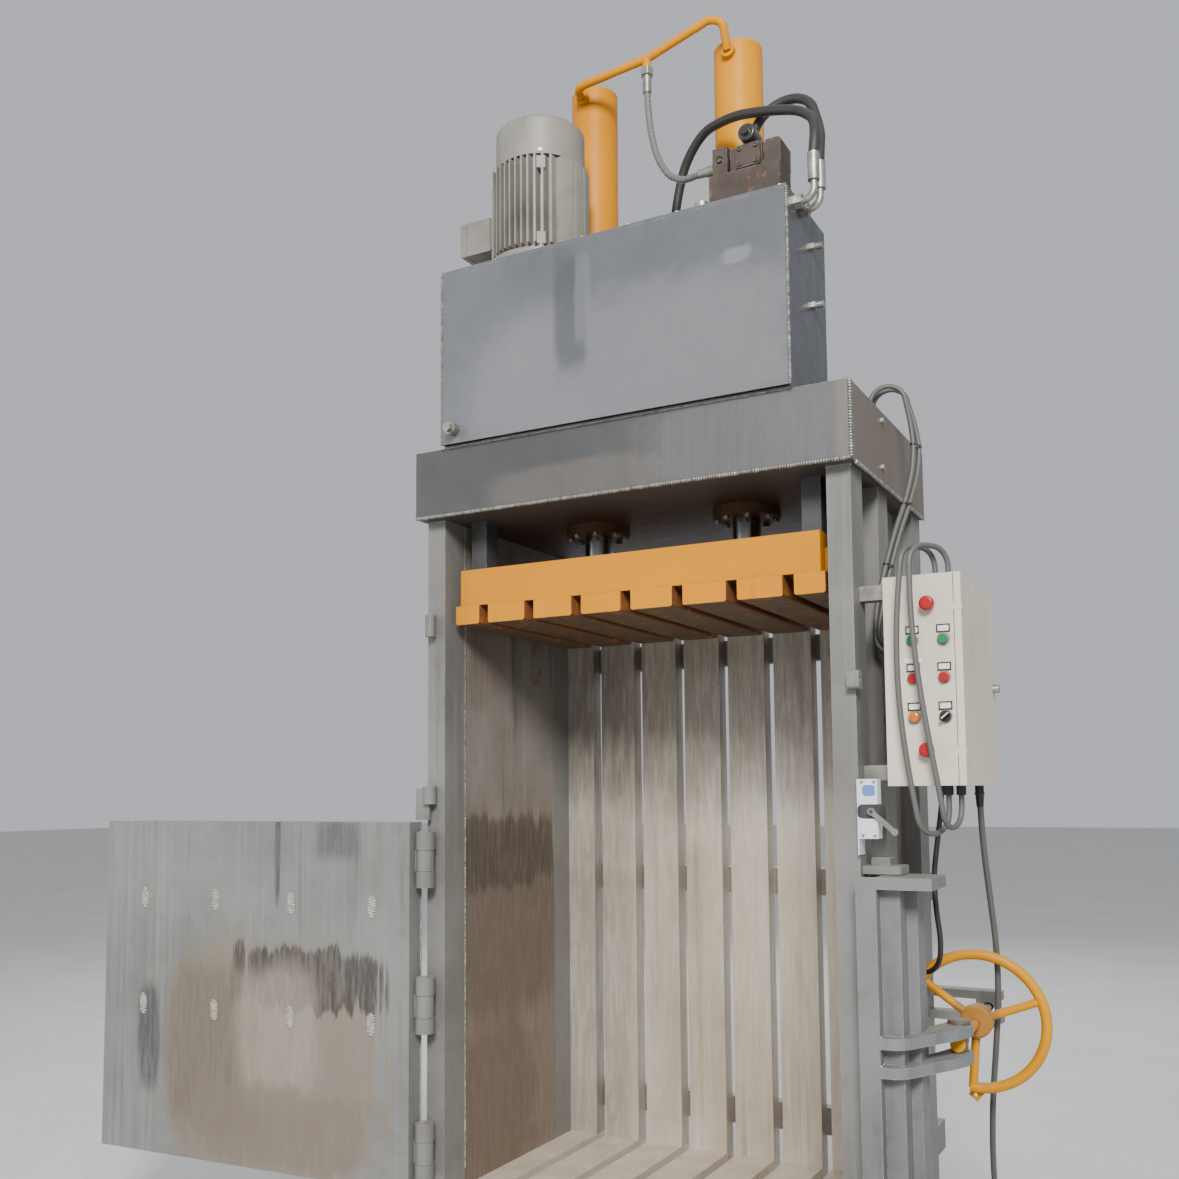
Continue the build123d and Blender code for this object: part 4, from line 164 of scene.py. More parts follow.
@dataclass
class EffectShop:
    """Builds each shared effect once and places it in materials."""

    made: dict[Effect, bpy.types.NodeTree] = field(default_factory=dict)

    def tree(self, effect: Effect) -> bpy.types.NodeTree:
        """Node group of an effect, built when it is first asked for."""
        if effect not in self.made:
            makers: dict[Effect, Callable[[], bpy.types.NodeTree]] = {
                Effect.EDGE_WEAR: self.edge_wear, Effect.RUN_MARKS: self.run_marks,
                Effect.BLOTCHES: self.blotches, Effect.BRUSHING: self.brushing,
                Effect.TOP_DUST: self.top_dust,
                Effect.LOCAL_STAIN_OR_SHADE: self.local_stain_or_shade, Effect.FACING: self.facing,
                Effect.FINE_GRAIN: self.fine_grain, Effect.WEAVE: self.weave,
            }
            self.made[effect] = makers[effect]()
        return self.made[effect]

    def put(self, board: Board, effect: Effect, **values: object) -> Socket:
        """Place an effect in a material.

        Args:
            board: the material's board.
            effect: which effect.
            values: its inputs, with underscores for the spaces in their names.

        Returns:
            The effect's only output.
        """
        node = board.add("ShaderNodeGroup", node_tree=self.tree(effect))
        for name, value in values.items():
            board.feed(node.inputs[name.replace("_", " ")], value)
        return node.outputs[0]

    def start(self, effect: Effect, output: str, **inputs: object) -> tuple[Board, dict[str, Socket], Socket]:
        """Open a new group with its inputs and one output."""
        tree = bpy.data.node_groups.new(effect.value, "ShaderNodeTree")
        for name, value in inputs.items():
            kind = "NodeSocketVector" if isinstance(value, tuple) else "NodeSocketFloat"
            socket = tree.interface.new_socket(name.replace("_", " "), in_out="INPUT", socket_type=kind)
            socket.default_value = value
        tree.interface.new_socket(output, in_out="OUTPUT", socket_type="NodeSocketFloat")
        board = Board(tree)
        entry = board.add("NodeGroupInput")
        leave = board.add("NodeGroupOutput")
        return board, {socket.name: socket for socket in entry.outputs if socket.name}, leave.inputs[0]

    def edge_wear(self) -> bpy.types.NodeTree:
        """Mask of rubbed outer edges, broken up by noise."""
        board, given, out = self.start(Effect.EDGE_WEAR, "Mask", Amount=0.5, Width=0.004, Scale=40.0)
        bevel = board.add("ShaderNodeBevel", samples=4)
        board.feed(bevel.inputs["Radius"], given["Width"])
        flat = board.add("ShaderNodeNewGeometry").outputs["Normal"]
        likeness = board.vector("DOT_PRODUCT", bevel.outputs["Normal"], flat).outputs["Value"]
        edge = board.step(board.math("SUBTRACT", 1.0, likeness), 0.01, 0.12)
        patchy = board.step(board.noise(board.point(), given["Scale"], 5.0, 0.7), 0.42, 0.62)
        mask = board.math("MULTIPLY", board.math("MULTIPLY", edge, patchy), given["Amount"], clamp=True)
        board.feed(out, mask)
        return board.tree

    def run_marks(self) -> bpy.types.NodeTree:
        """Mask of narrow marks left by what ran down an upright face."""
        board, given, out = self.start(Effect.RUN_MARKS, "Mask", Amount=0.5, Scale=18.0)
        thin = board.stretched((1.0, 1.0, 0.06))
        columns = board.noise(thin, given["Scale"], 5.0, 0.65)
        broken = board.noise(board.point(), 2.3, 3.0)
        marks = board.step(columns, 0.5, 0.72)
        mask = board.math("MULTIPLY", board.math("MULTIPLY", marks, board.step(broken, 0.35, 0.65)),
                          given["Amount"])
        board.feed(out, mask)
        return board.tree

    def blotches(self) -> bpy.types.NodeTree:
        """Mask of ragged patches that cover a set share of the surface."""
        board, given, out = self.start(Effect.BLOTCHES, "Mask", Cover=0.3, Scale=6.0, Softness=0.1)
        coarse = board.noise(board.point(), given["Scale"], 8.0, 0.68)
        edge = board.math("SUBTRACT", 0.72, board.math("MULTIPLY", given["Cover"], 0.44))
        board.feed(out, board.step(coarse, edge, board.math("ADD", edge, given["Softness"])))
        return board.tree

    def brushing(self) -> bpy.types.NodeTree:
        """Mask of the fine upright lines of rolled and rubbed plate."""
        board, given, out = self.start(Effect.BRUSHING, "Mask", Amount=0.5, Scale=70.0)
        fine = board.noise(board.stretched((1.0, 1.0, 0.02)), given["Scale"], 4.0, 0.7)
        broad = board.noise(board.stretched((1.0, 1.0, 0.12)), 9.0, 3.0)
        lines = board.math("MULTIPLY", board.step(fine, 0.42, 0.62), board.step(broad, 0.3, 0.7))
        board.feed(out, board.math("MULTIPLY", lines, given["Amount"]))
        return board.tree

    def top_dust(self) -> bpy.types.NodeTree:
        """Mask of the dust that lies on faces that look up."""
        board, given, out = self.start(Effect.TOP_DUST, "Mask", Amount=0.6)
        up = board.add("ShaderNodeSeparateXYZ")
        board.feed(up.inputs[0], board.add("ShaderNodeTexCoord").outputs["Normal"])
        lying = board.step(up.outputs["Z"], 0.35, 0.95)
        uneven = board.step(board.noise(board.point(), 14.0, 5.0), 0.25, 0.7)
        board.feed(out, board.math("MULTIPLY", board.math("MULTIPLY", lying, uneven), given["Amount"]))
        return board.tree

    def local_stain_or_shade(self) -> bpy.types.NodeTree:
        """Mask of one ragged mark inside a box with a centre and half sizes."""
        board, given, out = self.start(
            Effect.LOCAL_STAIN_OR_SHADE, "Mask", Centre=(0.0, 0.0, 0.0), Half_Size=(1.0, 1.0, 1.0), Ragged=0.6,
            Softness=0.4,
            Grain=(9.0, 9.0, 9.0), Lines=0.5,
        )
        offset = board.vector("SUBTRACT", board.point(), given["Centre"]).outputs[0]
        share = board.vector("DIVIDE", offset, given["Half Size"]).outputs[0]
        squared = board.vector("MULTIPLY", share, share).outputs[0]
        reach = board.math("SQRT", board.vector("LENGTH", squared, (0.0, 0.0, 0.0)).outputs["Value"])
        grained = board.vector("MULTIPLY", board.point(), given["Grain"]).outputs[0]
        wander = board.math("SUBTRACT", board.noise(grained, 1.0, 8.0, 0.65), 0.5)
        rough = board.math("MULTIPLY_ADD", wander, given["Ragged"])
        board.feed(rough.node.inputs[2], reach)
        outer = board.math("ADD", 0.9, given["Softness"])
        whole = board.math("SUBTRACT", 1.0, board.step(rough, 0.9, outer))
        lines = board.noise(board.stretched((1.0, 1.0, 0.1)), 85.0, 6.0, 0.7)
        gaps = board.math("MULTIPLY", board.math("SUBTRACT", 1.0, board.step(lines, 0.36, 0.6)),
                          given["Lines"])
        board.feed(out, board.math("MULTIPLY", whole, board.math("SUBTRACT", 1.0, gaps)))
        return board.tree

    def facing(self) -> bpy.types.NodeTree:
        """Mask of the faces that look one way and the opposite way: painted shade on sides and undersides, and
        what paint did not reach on the runners' slot sides.
        """
        board, given, out = self.start(Effect.FACING, "Mask", Direction=(1.0, 0.0, 0.0), Amount=1.0, Both=1.0)
        normal = board.add("ShaderNodeTexCoord").outputs["Normal"]
        along = board.vector("DOT_PRODUCT", normal, given["Direction"]).outputs["Value"]
        behind = board.math("MULTIPLY", board.math("MULTIPLY", along, -1.0), given["Both"])
        looks = board.step(board.math("MAXIMUM", along, behind), 0.35, 0.7)
        uneven = board.step(board.noise(board.point(), 30.0, 5.0), 0.1, 0.5)
        board.feed(out, board.math("MULTIPLY", board.math("MULTIPLY", looks, uneven), given["Amount"]))
        return board.tree

    def fine_grain(self) -> bpy.types.NodeTree:
        """Height of small unevenness, as in thick paint, scale or a casting's skin."""
        board, given, out = self.start(Effect.FINE_GRAIN, "Height", Scale=160.0, Coarse=0.4)
        small = board.noise(board.point(), given["Scale"], 3.0, 0.6)
        large = board.noise(board.point(), board.math("MULTIPLY", given["Scale"], 0.08), 3.0)
        board.feed(out, board.math("ADD", small, board.math("MULTIPLY", large, given["Coarse"])))
        return board.tree

    def weave(self) -> bpy.types.NodeTree:
        """Height of a braided cover, two sets of slanting threads."""
        board, given, out = self.start(Effect.WEAVE, "Height", Scale=420.0)
        parts = board.add("ShaderNodeSeparateXYZ")
        board.feed(parts.inputs[0], board.point())
        level = board.math("ADD", parts.outputs["X"], parts.outputs["Y"])
        waves = []
        for sign in (1.0, -1.0):
            slant = board.math("MULTIPLY_ADD", parts.outputs["Z"], sign)
            board.feed(slant.node.inputs[2], level)
            waves.append(board.math("SINE", board.math("MULTIPLY", slant, given["Scale"])))
        board.feed(out, board.math("MAXIMUM", waves[0], waves[1]))
        return board.tree


SHOP = EffectShop()


# Finishes


@dataclass(frozen=True)
class StainOrShade:
    """One local mark on a finish, in metres of the frame: a real stain, or on some finishes a painted shadow
    where shade falls.
    """

    centre: Triple
    half_size: Triple
    colour: tuple[float, float, float, float]
    strength: float
    ragged: float = 0.7
    softness: float = 0.5
    grain: Triple = (9.0, 9.0, 9.0)
    lines: float = 0.45


@dataclass(frozen=True)
class FaceTint:
    """Another colour on the faces that look one way, or both that way and the opposite way."""

    direction: Triple
    colour: tuple[float, float, float, float]
    strength: float
    both: float = 0.0


@dataclass(frozen=True)
class CoatedSteel:
    """Paint, mill scale or a casting's skin, with age: tone, marks, rust, wear and dust, plus painted shade on
    some faces and marks.
    """

    name: str
    colour: tuple[float, float, float, float]
    second: tuple[float, float, float, float]
    tone_size: float = 1.6
    metallic: float = 0.0
    roughness: float = 0.55
    gloss_spread: float = 0.2
    rust: float = 0.0
    rust_size: float = 9.0
    rust_colour: tuple[float, float, float, float] = linear(96, 60, 38)
    marks: float = 0.0
    mark_colour: tuple[float, float, float, float] = linear(58, 52, 46)
    wear: float = 0.4
    wear_width: float = 0.004
    wear_colour: tuple[float, float, float, float] = linear(150, 148, 144)
    dust: float = 0.4
    dust_colour: tuple[float, float, float, float] = linear(150, 138, 118)
    grain: float = 150.0
    relief: float = 0.12
    coat: float = 0.0
    shine: float = 0.5
    mottle: float = 0.3
    mottle_size: float = 26.0
    brush: float = 0.0
    brush_colour: tuple[float, float, float, float] = linear(190, 190, 187)
    stains_and_shade: tuple[StainOrShade, ...] = ()
    tints: tuple[FaceTint, ...] = ()

    def material(self) -> bpy.types.Material:
        """Build the material of this finish."""
        made = bpy.data.materials.new(self.name)
        made.use_nodes = True
        board = Board(made.node_tree)
        shader = made.node_tree.nodes["Principled BSDF"]
        tone = board.noise(board.point(), self.tone_size, 6.0, 0.6)
        colour = board.blend(board.step(tone, 0.35, 0.68), self.colour, self.second)
        gloss = board.math("MULTIPLY_ADD", board.noise(board.point(), 22.0, 5.0), self.gloss_spread)
        gloss.node.inputs[2].default_value = self.roughness - self.gloss_spread / 2
        metal: object = self.metallic
        if self.mottle:
            specks = SHOP.put(board, Effect.BLOTCHES, Cover=0.5, Scale=self.mottle_size, Softness=0.35)
            colour = board.blend(board.math("MULTIPLY", specks, self.mottle), colour, self.mark_colour)
        if self.marks:
            streaks = SHOP.put(board, Effect.RUN_MARKS, Amount=self.marks)
            colour = board.blend(streaks, colour, self.mark_colour)
        if self.brush:
            lines = SHOP.put(board, Effect.BRUSHING, Amount=self.brush)
            colour = board.blend(lines, colour, self.brush_colour)
        if self.rust:
            patches = SHOP.put(board, Effect.BLOTCHES, Cover=self.rust, Scale=self.rust_size, Softness=0.12)
            colour = board.blend(patches, colour, self.rust_colour)
            gloss = board.math("MAXIMUM", gloss, board.math("MULTIPLY", patches, 0.85))
            metal = board.math("MULTIPLY", board.math("SUBTRACT", 1.0, patches), self.metallic)
        # Local marks: real stains, and on some finishes painted shadows.
        for stain_or_shade in self.stains_and_shade:
            mask = SHOP.put(board, Effect.LOCAL_STAIN_OR_SHADE, Centre=stain_or_shade.centre, Half_Size=stain_or_shade.half_size,
                            Ragged=stain_or_shade.ragged, Softness=stain_or_shade.softness, Grain=stain_or_shade.grain,
                            Lines=stain_or_shade.lines)
            colour = board.blend(board.math("MULTIPLY", mask, stain_or_shade.strength), colour, stain_or_shade.colour)
        # Face tints: painted shade on sides and undersides, and real colour on the runners' slot sides.
        for tint in self.tints:
            mask = SHOP.put(board, Effect.FACING, Direction=tint.direction, Amount=tint.strength,
                            Both=tint.both)
            colour = board.blend(mask, colour, tint.colour)
        if self.wear:
            rubbed = SHOP.put(board, Effect.EDGE_WEAR, Amount=self.wear, Width=self.wear_width)
            colour = board.blend(rubbed, colour, self.wear_colour)
        if self.dust:
            lying = SHOP.put(board, Effect.TOP_DUST, Amount=self.dust)
            colour = board.blend(lying, colour, self.dust_colour)
            gloss = board.math("MAXIMUM", gloss, board.math("MULTIPLY", lying, 0.9))
        bump = board.add("ShaderNodeBump")
        bump.inputs["Strength"].default_value = self.relief
        bump.inputs["Distance"].default_value = 0.002
        board.feed(bump.inputs["Height"], SHOP.put(board, Effect.FINE_GRAIN, Scale=self.grain))
        board.feed(shader.inputs["Normal"], bump.outputs["Normal"])
        board.feed(shader.inputs["Base Color"], colour)
        board.feed(shader.inputs["Roughness"], gloss)
        board.feed(shader.inputs["Metallic"], metal)
        shader.inputs["Specular IOR Level"].default_value = self.shine
        if self.coat:
            shader.inputs["Coat Weight"].default_value = self.coat
            shader.inputs["Coat Roughness"].default_value = 0.15
        return made


@dataclass(frozen=True)
class Moulded:
    """Plastic or rubber: an even colour, dulled by dust and handling."""

    name: str
    colour: tuple[float, float, float, float]
    roughness: float = 0.35
    grime: float = 0.25
    grime_colour: tuple[float, float, float, float] = linear(120, 108, 92)
    grain: float = 260.0
    relief: float = 0.05
    braided: bool = False
    stains_and_shade: tuple[StainOrShade, ...] = ()

    def material(self) -> bpy.types.Material:
        """Build the material of this finish."""
        made = bpy.data.materials.new(self.name)
        made.use_nodes = True
        board = Board(made.node_tree)
        shader = made.node_tree.nodes["Principled BSDF"]
        dirt = SHOP.put(board, Effect.BLOTCHES, Cover=0.4, Scale=24.0, Softness=0.3)
        colour = board.blend(board.math("MULTIPLY", dirt, self.grime), self.colour, self.grime_colour)
        for stain_or_shade in self.stains_and_shade:
            mask = SHOP.put(board, Effect.LOCAL_STAIN_OR_SHADE, Centre=stain_or_shade.centre, Half_Size=stain_or_shade.half_size,
                            Ragged=stain_or_shade.ragged, Softness=stain_or_shade.softness, Grain=stain_or_shade.grain,
                            Lines=stain_or_shade.lines)
            colour = board.blend(board.math("MULTIPLY", mask, stain_or_shade.strength), colour, stain_or_shade.colour)
        lying = SHOP.put(board, Effect.TOP_DUST, Amount=0.35)
        colour = board.blend(lying, colour, self.grime_colour)
        gloss = board.math("MULTIPLY_ADD", dirt, 0.25)
        gloss.node.inputs[2].default_value = self.roughness
        effect = Effect.WEAVE if self.braided else Effect.FINE_GRAIN
        height = SHOP.put(board, effect, **({} if self.braided else {"Scale": self.grain}))
        bump = board.add("ShaderNodeBump")
        bump.inputs["Strength"].default_value = 0.5 if self.braided else self.relief
        bump.inputs["Distance"].default_value = 0.001
        board.feed(bump.inputs["Height"], height)
        board.feed(shader.inputs["Normal"], bump.outputs["Normal"])
        board.feed(shader.inputs["Base Color"], colour)
        board.feed(shader.inputs["Roughness"], gloss)
        return made


GREY = linear(120, 120, 118)
GREY_DARK = linear(98, 97, 94)

# Noise scale along X, Y and Z that draws a mark's border out into upright drips
DRIPS = (26.0, 26.0, 1.6)

FRAME_STEEL = CoatedSteel(
    "frame_steel", GREY, GREY_DARK, rust=0.12, rust_colour=linear(96, 76, 60), marks=0.4, wear=0.6, dust=0.4,
    relief=0.16, brush=0.3, brush_colour=linear(134, 134, 132),
)
WALL_STEEL = CoatedSteel(
    "wall_steel", linear(132, 128, 123), linear(110, 101, 93), rust=0.24, rust_size=5.0,
    rust_colour=linear(106, 88, 74), marks=0.75, mark_colour=linear(52, 46, 41), wear=0.2, brush=0.3,
    brush_colour=linear(150, 142, 134),
    stains_and_shade=(
        StainOrShade(place(-565, 400, 620), (0.05, 0.6, 0.6), linear(116, 100, 87), 0.85, 1.0, 0.35, DRIPS),
        StainOrShade(place(-565, 330, 980), (0.05, 0.28, 0.26), linear(84, 74, 66), 0.6, 1.2, 0.4, DRIPS),
        StainOrShade(place(-565, 300, 1180), (0.05, 0.3, 0.1), linear(56, 50, 45), 0.7, 1.6, 0.3, DRIPS),
        StainOrShade(place(-565, 200, 420), (0.05, 0.25, 0.2), linear(96, 80, 68), 0.6, 1.2, 0.5),
        StainOrShade(place(565, 400, 500), (0.05, 0.6, 0.35), linear(104, 88, 76), 0.7),
    ),
)
SLAT_STEEL = CoatedSteel(
    "slat_steel", linear(204, 197, 183), linear(168, 156, 141), metallic=0.25, roughness=0.5, rust=0.16,
    rust_size=4.0, rust_colour=linear(146, 128, 110), marks=0.7, mark_colour=linear(108, 98, 88), wear=0.5,
    brush=0.6, brush_colour=linear(206, 202, 195),
    stains_and_shade=(
        StainOrShade(place(60, 713, 800), (0.3, 0.1, 0.42), linear(158, 142, 122), 0.5, 1.0, 0.6, (8.0, 8.0, 2.0)),
        StainOrShade(place(-480, 713, 1000), (0.12, 0.1, 0.8), linear(104, 98, 92), 0.5, 0.9, 0.8, DRIPS),
        # Dark band across the upper slats, given drip-shaped edges: painted shade.
        StainOrShade(place(20, 713, 1600), (0.6, 0.1, 0.22), linear(104, 97, 90), 0.6, 1.2, 0.8, DRIPS),
    ),
)
FLOOR_STEEL = CoatedSteel(
    "floor_steel", linear(216, 207, 193), linear(188, 174, 156), metallic=0.25, roughness=0.6, rust=0.3,
    rust_size=7.0, rust_colour=linear(122, 92, 70), wear=0.7, wear_width=0.006, dust=0.7,
    dust_colour=linear(188, 176, 160),
)
CROWN_STEEL = CoatedSteel(
    "crown_steel", linear(70, 71, 73), linear(54, 55, 57), rust=0.08, rust_colour=linear(92, 76, 64),
    marks=0.5,
    wear=0.5, dust=0.5,
    stains_and_shade=(
        StainOrShade(place(640, 300, 2250), (0.03, 0.5, 0.16), linear(112, 98, 86), 0.7, lines=0.2),
        StainOrShade(place(-120, -40, 2190), (0.22, 0.03, 0.05), linear(96, 90, 84), 0.5, lines=0.2),
        StainOrShade(place(400, -40, 2230), (0.26, 0.03, 0.12), linear(98, 98, 100), 0.6, lines=0.2),
    ),
    # Darker downward faces: painted shade on the crown's underside.
    tints=(FaceTint((0.0, 0.0, -1.0), linear(62, 56, 52), 0.8),),
)
DOOR_STEEL = CoatedSteel(
    "door_steel", linear(122, 123, 121), linear(104, 103, 101), rust=0.08, rust_size=5.0,
    rust_colour=linear(104, 94, 84), marks=0.6, mark_colour=linear(70, 68, 66), wear=0.5, brush=0.28,
    brush_colour=linear(150, 154, 155),
    stains_and_shade=(
        StainOrShade((-1.14, -0.46, 0.58), (0.4, 0.2, 0.34), linear(124, 112, 99), 0.95, 0.9, 0.2, DRIPS),
        StainOrShade((-0.98, -0.46, 0.82), (0.24, 0.2, 0.09), linear(52, 48, 46), 0.9, 1.8, 0.2, DRIPS),
        StainOrShade((-1.34, -0.46, 0.6), (0.16, 0.2, 0.22), linear(98, 88, 77), 0.85, 0.9, 0.5, (10.0, 10.0, 4.0)),
        StainOrShade((-1.1, -0.46, 0.66), (0.12, 0.2, 0.16), linear(150, 140, 128), 0.7, 1.0, 0.6,
              (10.0, 10.0, 4.0)),
        StainOrShade((-1.08, -0.46, 0.4), (0.3, 0.2, 0.1), linear(112, 102, 89), 0.8, 1.6, 0.4, (14.0, 14.0, 5.0)),
        StainOrShade((-1.6, -0.46, 0.62), (0.04, 0.2, 0.14), linear(58, 60, 62), 0.85, 0.9, 0.5, (10.0, 10.0, 4.0)),
        StainOrShade((-0.88, -0.46, 1.23), (0.05, 0.2, 0.04), linear(62, 65, 70), 0.7, 1.4, 1.0, (14.0, 14.0, 4.0)),
        StainOrShade((-1.1, -0.46, 1.18), (0.008, 0.2, 0.11), linear(56, 58, 60), 0.85, 1.0, 0.6, DRIPS),
    ),
)
DOOR_BACK_STEEL = replace(DOOR_STEEL, name="door_back_steel", stains_and_shade=())
PLUG_WELD = CoatedSteel(
    "plug_weld", linear(184, 182, 176), linear(150, 146, 138), tone_size=60.0, roughness=0.5, rust=0.3,
    rust_size=110.0, rust_colour=linear(104, 98, 90), wear=0.6, dust=0.2, grain=320.0, relief=0.9,
)
CLAMP_STEEL = CoatedSteel(
    "clamp_steel", linear(114, 116, 119), linear(86, 86, 86), rust=0.18, rust_colour=linear(92, 72, 58),
    marks=0.4,
    wear=0.75, wear_width=0.005,
)
TANK_PAINT = CoatedSteel(
    "tank_coat", linear(92, 95, 100), linear(77, 79, 84), tone_size=1.2, roughness=0.42, rust=0.03,
    marks=0.35,
    mark_colour=linear(70, 71, 74), wear=0.4, wear_colour=linear(150, 152, 154), dust=0.6, coat=0.15,
    stains_and_shade=(
        StainOrShade(place(60, -60, 2480), (0.36, 0.02, 0.15), linear(108, 110, 114), 0.7, 1.0, 0.8, lines=0.06),
        StainOrShade(place(-110, -60, 2650), (0.04, 0.02, 0.13), linear(58, 60, 64), 0.7, 1.2, 0.7, lines=0.06),
        StainOrShade(place(-75, -60, 2690), (0.018, 0.02, 0.1), linear(112, 115, 119), 0.45, 1.2, 0.7, lines=0.06),
        StainOrShade(place(370, -60, 2700), (0.028, 0.02, 0.016), linear(132, 134, 137), 0.45, 2.0, 0.8, lines=0.06),
    ),
    # Darker faces looking +X: painted shade on the tank's right side.
    tints=(FaceTint((1.0, 0.0, 0.0), linear(46, 47, 54), 0.85),),
)
YELLOW_ENAMEL = CoatedSteel(
    "yellow_enamel", shine=0.2, colour=linear(204, 134, 0), second=linear(190, 122, 0), tone_size=2.2,
    roughness=0.45, rust=0.04,
    rust_size=16.0, rust_colour=linear(112, 74, 34), marks=0.35, mark_colour=linear(150, 96, 20), wear=0.5,
    wear_width=0.003, wear_colour=linear(112, 86, 58), dust=0.25, relief=0.08,
    # Dark grey-brown band over the cylinders' glands under the crown: painted shadow.
    stains_and_shade=(StainOrShade(place(0, 325, 2050), (2.0, 2.0, 0.12), linear(58, 50, 44), 0.92, 0.1, 0.05, lines=0.0),),
)
PLATEN_ENAMEL = CoatedSteel(
    "platen_enamel", shine=0.2, colour=linear(198, 130, 0), second=linear(188, 120, 0), tone_size=1.6,
    roughness=0.5, rust=0.04,
    rust_size=20.0, rust_colour=linear(128, 82, 34), marks=0.3, mark_colour=linear(168, 104, 18), wear=0.45,
    wear_width=0.003, wear_colour=linear(120, 92, 58), dust=0.5, dust_colour=linear(166, 146, 108),
    relief=0.08,
    # Darker brown-grey downward faces: worn bare steel, darkened further as painted shade under the platen.
    tints=(FaceTint((0.0, 0.0, -1.0), linear(70, 56, 44), 0.9),),
)
PLATEN_RUNNER = CoatedSteel(
    "platen_runner", shine=0.2, colour=linear(200, 130, 0), second=linear(192, 124, 6), roughness=0.5,
    rust=0.14, rust_size=12.0,
    rust_colour=linear(126, 72, 34), marks=0.45, mark_colour=linear(130, 78, 28), wear=0.9, wear_width=0.005,
    wear_colour=linear(128, 78, 50), dust=0.2,
    tints=(
        # Darker brown-grey downward faces: worn bare steel, darkened further as painted shade under the
        # runners.
        FaceTint((0.0, 0.0, -1.0), linear(88, 74, 62), 0.97),
        FaceTint((1.0, 0.0, 0.0), linear(112, 70, 52), 0.9, 1.0),
        FaceTint((0.0, 1.0, 0.0), linear(96, 72, 50), 0.8),
    ),
)
WHEEL_ENAMEL = CoatedSteel(
    "wheel_enamel", shine=0.2, colour=linear(208, 142, 0), second=linear(198, 134, 4), tone_size=5.0,
    roughness=0.42, rust=0.1,
    rust_size=22.0, rust_colour=linear(96, 70, 42), wear=0.8, wear_width=0.004,
    wear_colour=linear(128, 104, 76),
    stains_and_shade=(StainOrShade((0.786, 0.078, 0.757), (0.055, 0.055, 0.055), linear(150, 108, 56), 0.85, 0.3, 0.3,
                  lines=0.0),),
)
MOTOR_PAINT = CoatedSteel(
    "motor_coat", linear(130, 127, 121), linear(102, 98, 92), tone_size=4.0, roughness=0.5, rust=0.06,
    rust_colour=linear(96, 78, 62), marks=0.5, mark_colour=linear(84, 78, 70), wear=0.4, dust=0.6, relief=0.1,
)
VALVE_IRON = CoatedSteel(
    "valve_skin", linear(66, 54, 46), linear(48, 39, 33), tone_size=12.0, roughness=0.65, rust=0.35,
    rust_size=26.0, rust_colour=linear(104, 70, 50), wear=0.5, dust=0.4, grain=220.0, relief=0.35,
)
BLACK_ENAMEL = CoatedSteel(
    "black_enamel", linear(30, 30, 32), linear(44, 43, 42), roughness=0.35, wear=0.5,
    wear_colour=linear(110, 108, 104), dust=0.5, coat=0.3,
)
CHROME = CoatedSteel(
    "polished_rod", linear(168, 168, 168), linear(140, 138, 136), metallic=1.0, roughness=0.22,
    gloss_spread=0.1,
    wear=0.0, dust=0.15, relief=0.02,
    # Dark band on the rods just under the crown: painted shadow.
    stains_and_shade=(StainOrShade(place(0, 325, 2010), (2.0, 2.0, 0.03), linear(60, 52, 46), 0.9, 0.2, 0.1, lines=0.0),),
)
ZINC = CoatedSteel(
    "zinc_plate", linear(164, 163, 157), linear(138, 136, 128), tone_size=20.0, metallic=0.8, roughness=0.42,
    rust=0.1, rust_size=30.0, wear=0.3, dust=0.4,
)
WELD_METAL = CoatedSteel(
    "weld_metal", linear(160, 160, 157), linear(122, 120, 114), tone_size=60.0, metallic=0.75, roughness=0.38,
    rust=0.12, rust_size=50.0, wear=0.0, dust=0.2,
)
BARE_STEEL = CoatedSteel(
    "turned_steel", linear(150, 146, 140), linear(112, 104, 95), tone_size=14.0, metallic=0.7, roughness=0.4,
    rust=0.25, rust_size=24.0, wear=0.3, dust=0.3,
)
CABINET_PAINT = CoatedSteel(
    "cabinet_coat", linear(206, 200, 184), linear(192, 185, 168), tone_size=2.5, roughness=0.5, marks=0.25,
    mark_colour=linear(140, 130, 110), wear=0.35, wear_width=0.003, wear_colour=linear(120, 112, 98),
    dust=0.4,
    grain=320.0, relief=0.1,
)
GEAR_FINISH = CoatedSteel(
    "gear_plate", linear(178, 180, 176), linear(160, 160, 154), roughness=0.45, wear=0.0, dust=0.3,
    stains_and_shade=(StainOrShade(place(760, 225, 1545), (0.045, 0.12, 0.11), linear(58, 60, 64), 0.9, 0.05, 0.1,
                  lines=0.0),),
)
RED_PLASTIC = Moulded("red_moulding", linear(158, 6, 20))
GREEN_PLASTIC = Moulded("green_moulding", linear(4, 118, 62))
BLACK_PLASTIC = Moulded("black_moulding", linear(34, 34, 36))
WHITE_PLASTIC = Moulded("white_moulding", linear(222, 222, 214))
AMBER_PLASTIC = Moulded("amber_moulding", linear(210, 104, 4), roughness=0.18)
SWITCH_PLASTIC = Moulded(
    "switch_moulding", linear(206, 212, 220),
    stains_and_shade=(
        StainOrShade(place(652, 7, 1309), (0.03, 0.04, 0.0185), linear(36, 38, 42), 0.95, 0.0, 0.05, lines=0.0),
        StainOrShade(place(652, -8, 1358), (0.016, 0.012, 0.014), linear(64, 110, 176), 0.9, 0.05, 0.1, lines=0.0),
    ),
)
SHEATH = Moulded("cable_sheath", linear(84, 83, 82), roughness=0.5, relief=0.1)
DARK_RUBBER = Moulded("dark_rubber", linear(40, 40, 41), roughness=0.55, relief=0.2)
BRAIDED_HOSE = Moulded("braided_hose", linear(98, 100, 102), roughness=0.5, braided=True)
FLOOR_COAT = CoatedSteel(
    "pale_floor", linear(206, 205, 202), linear(200, 199, 196), roughness=0.75, wear=0.0, dust=0.0,
    relief=0.02,
)

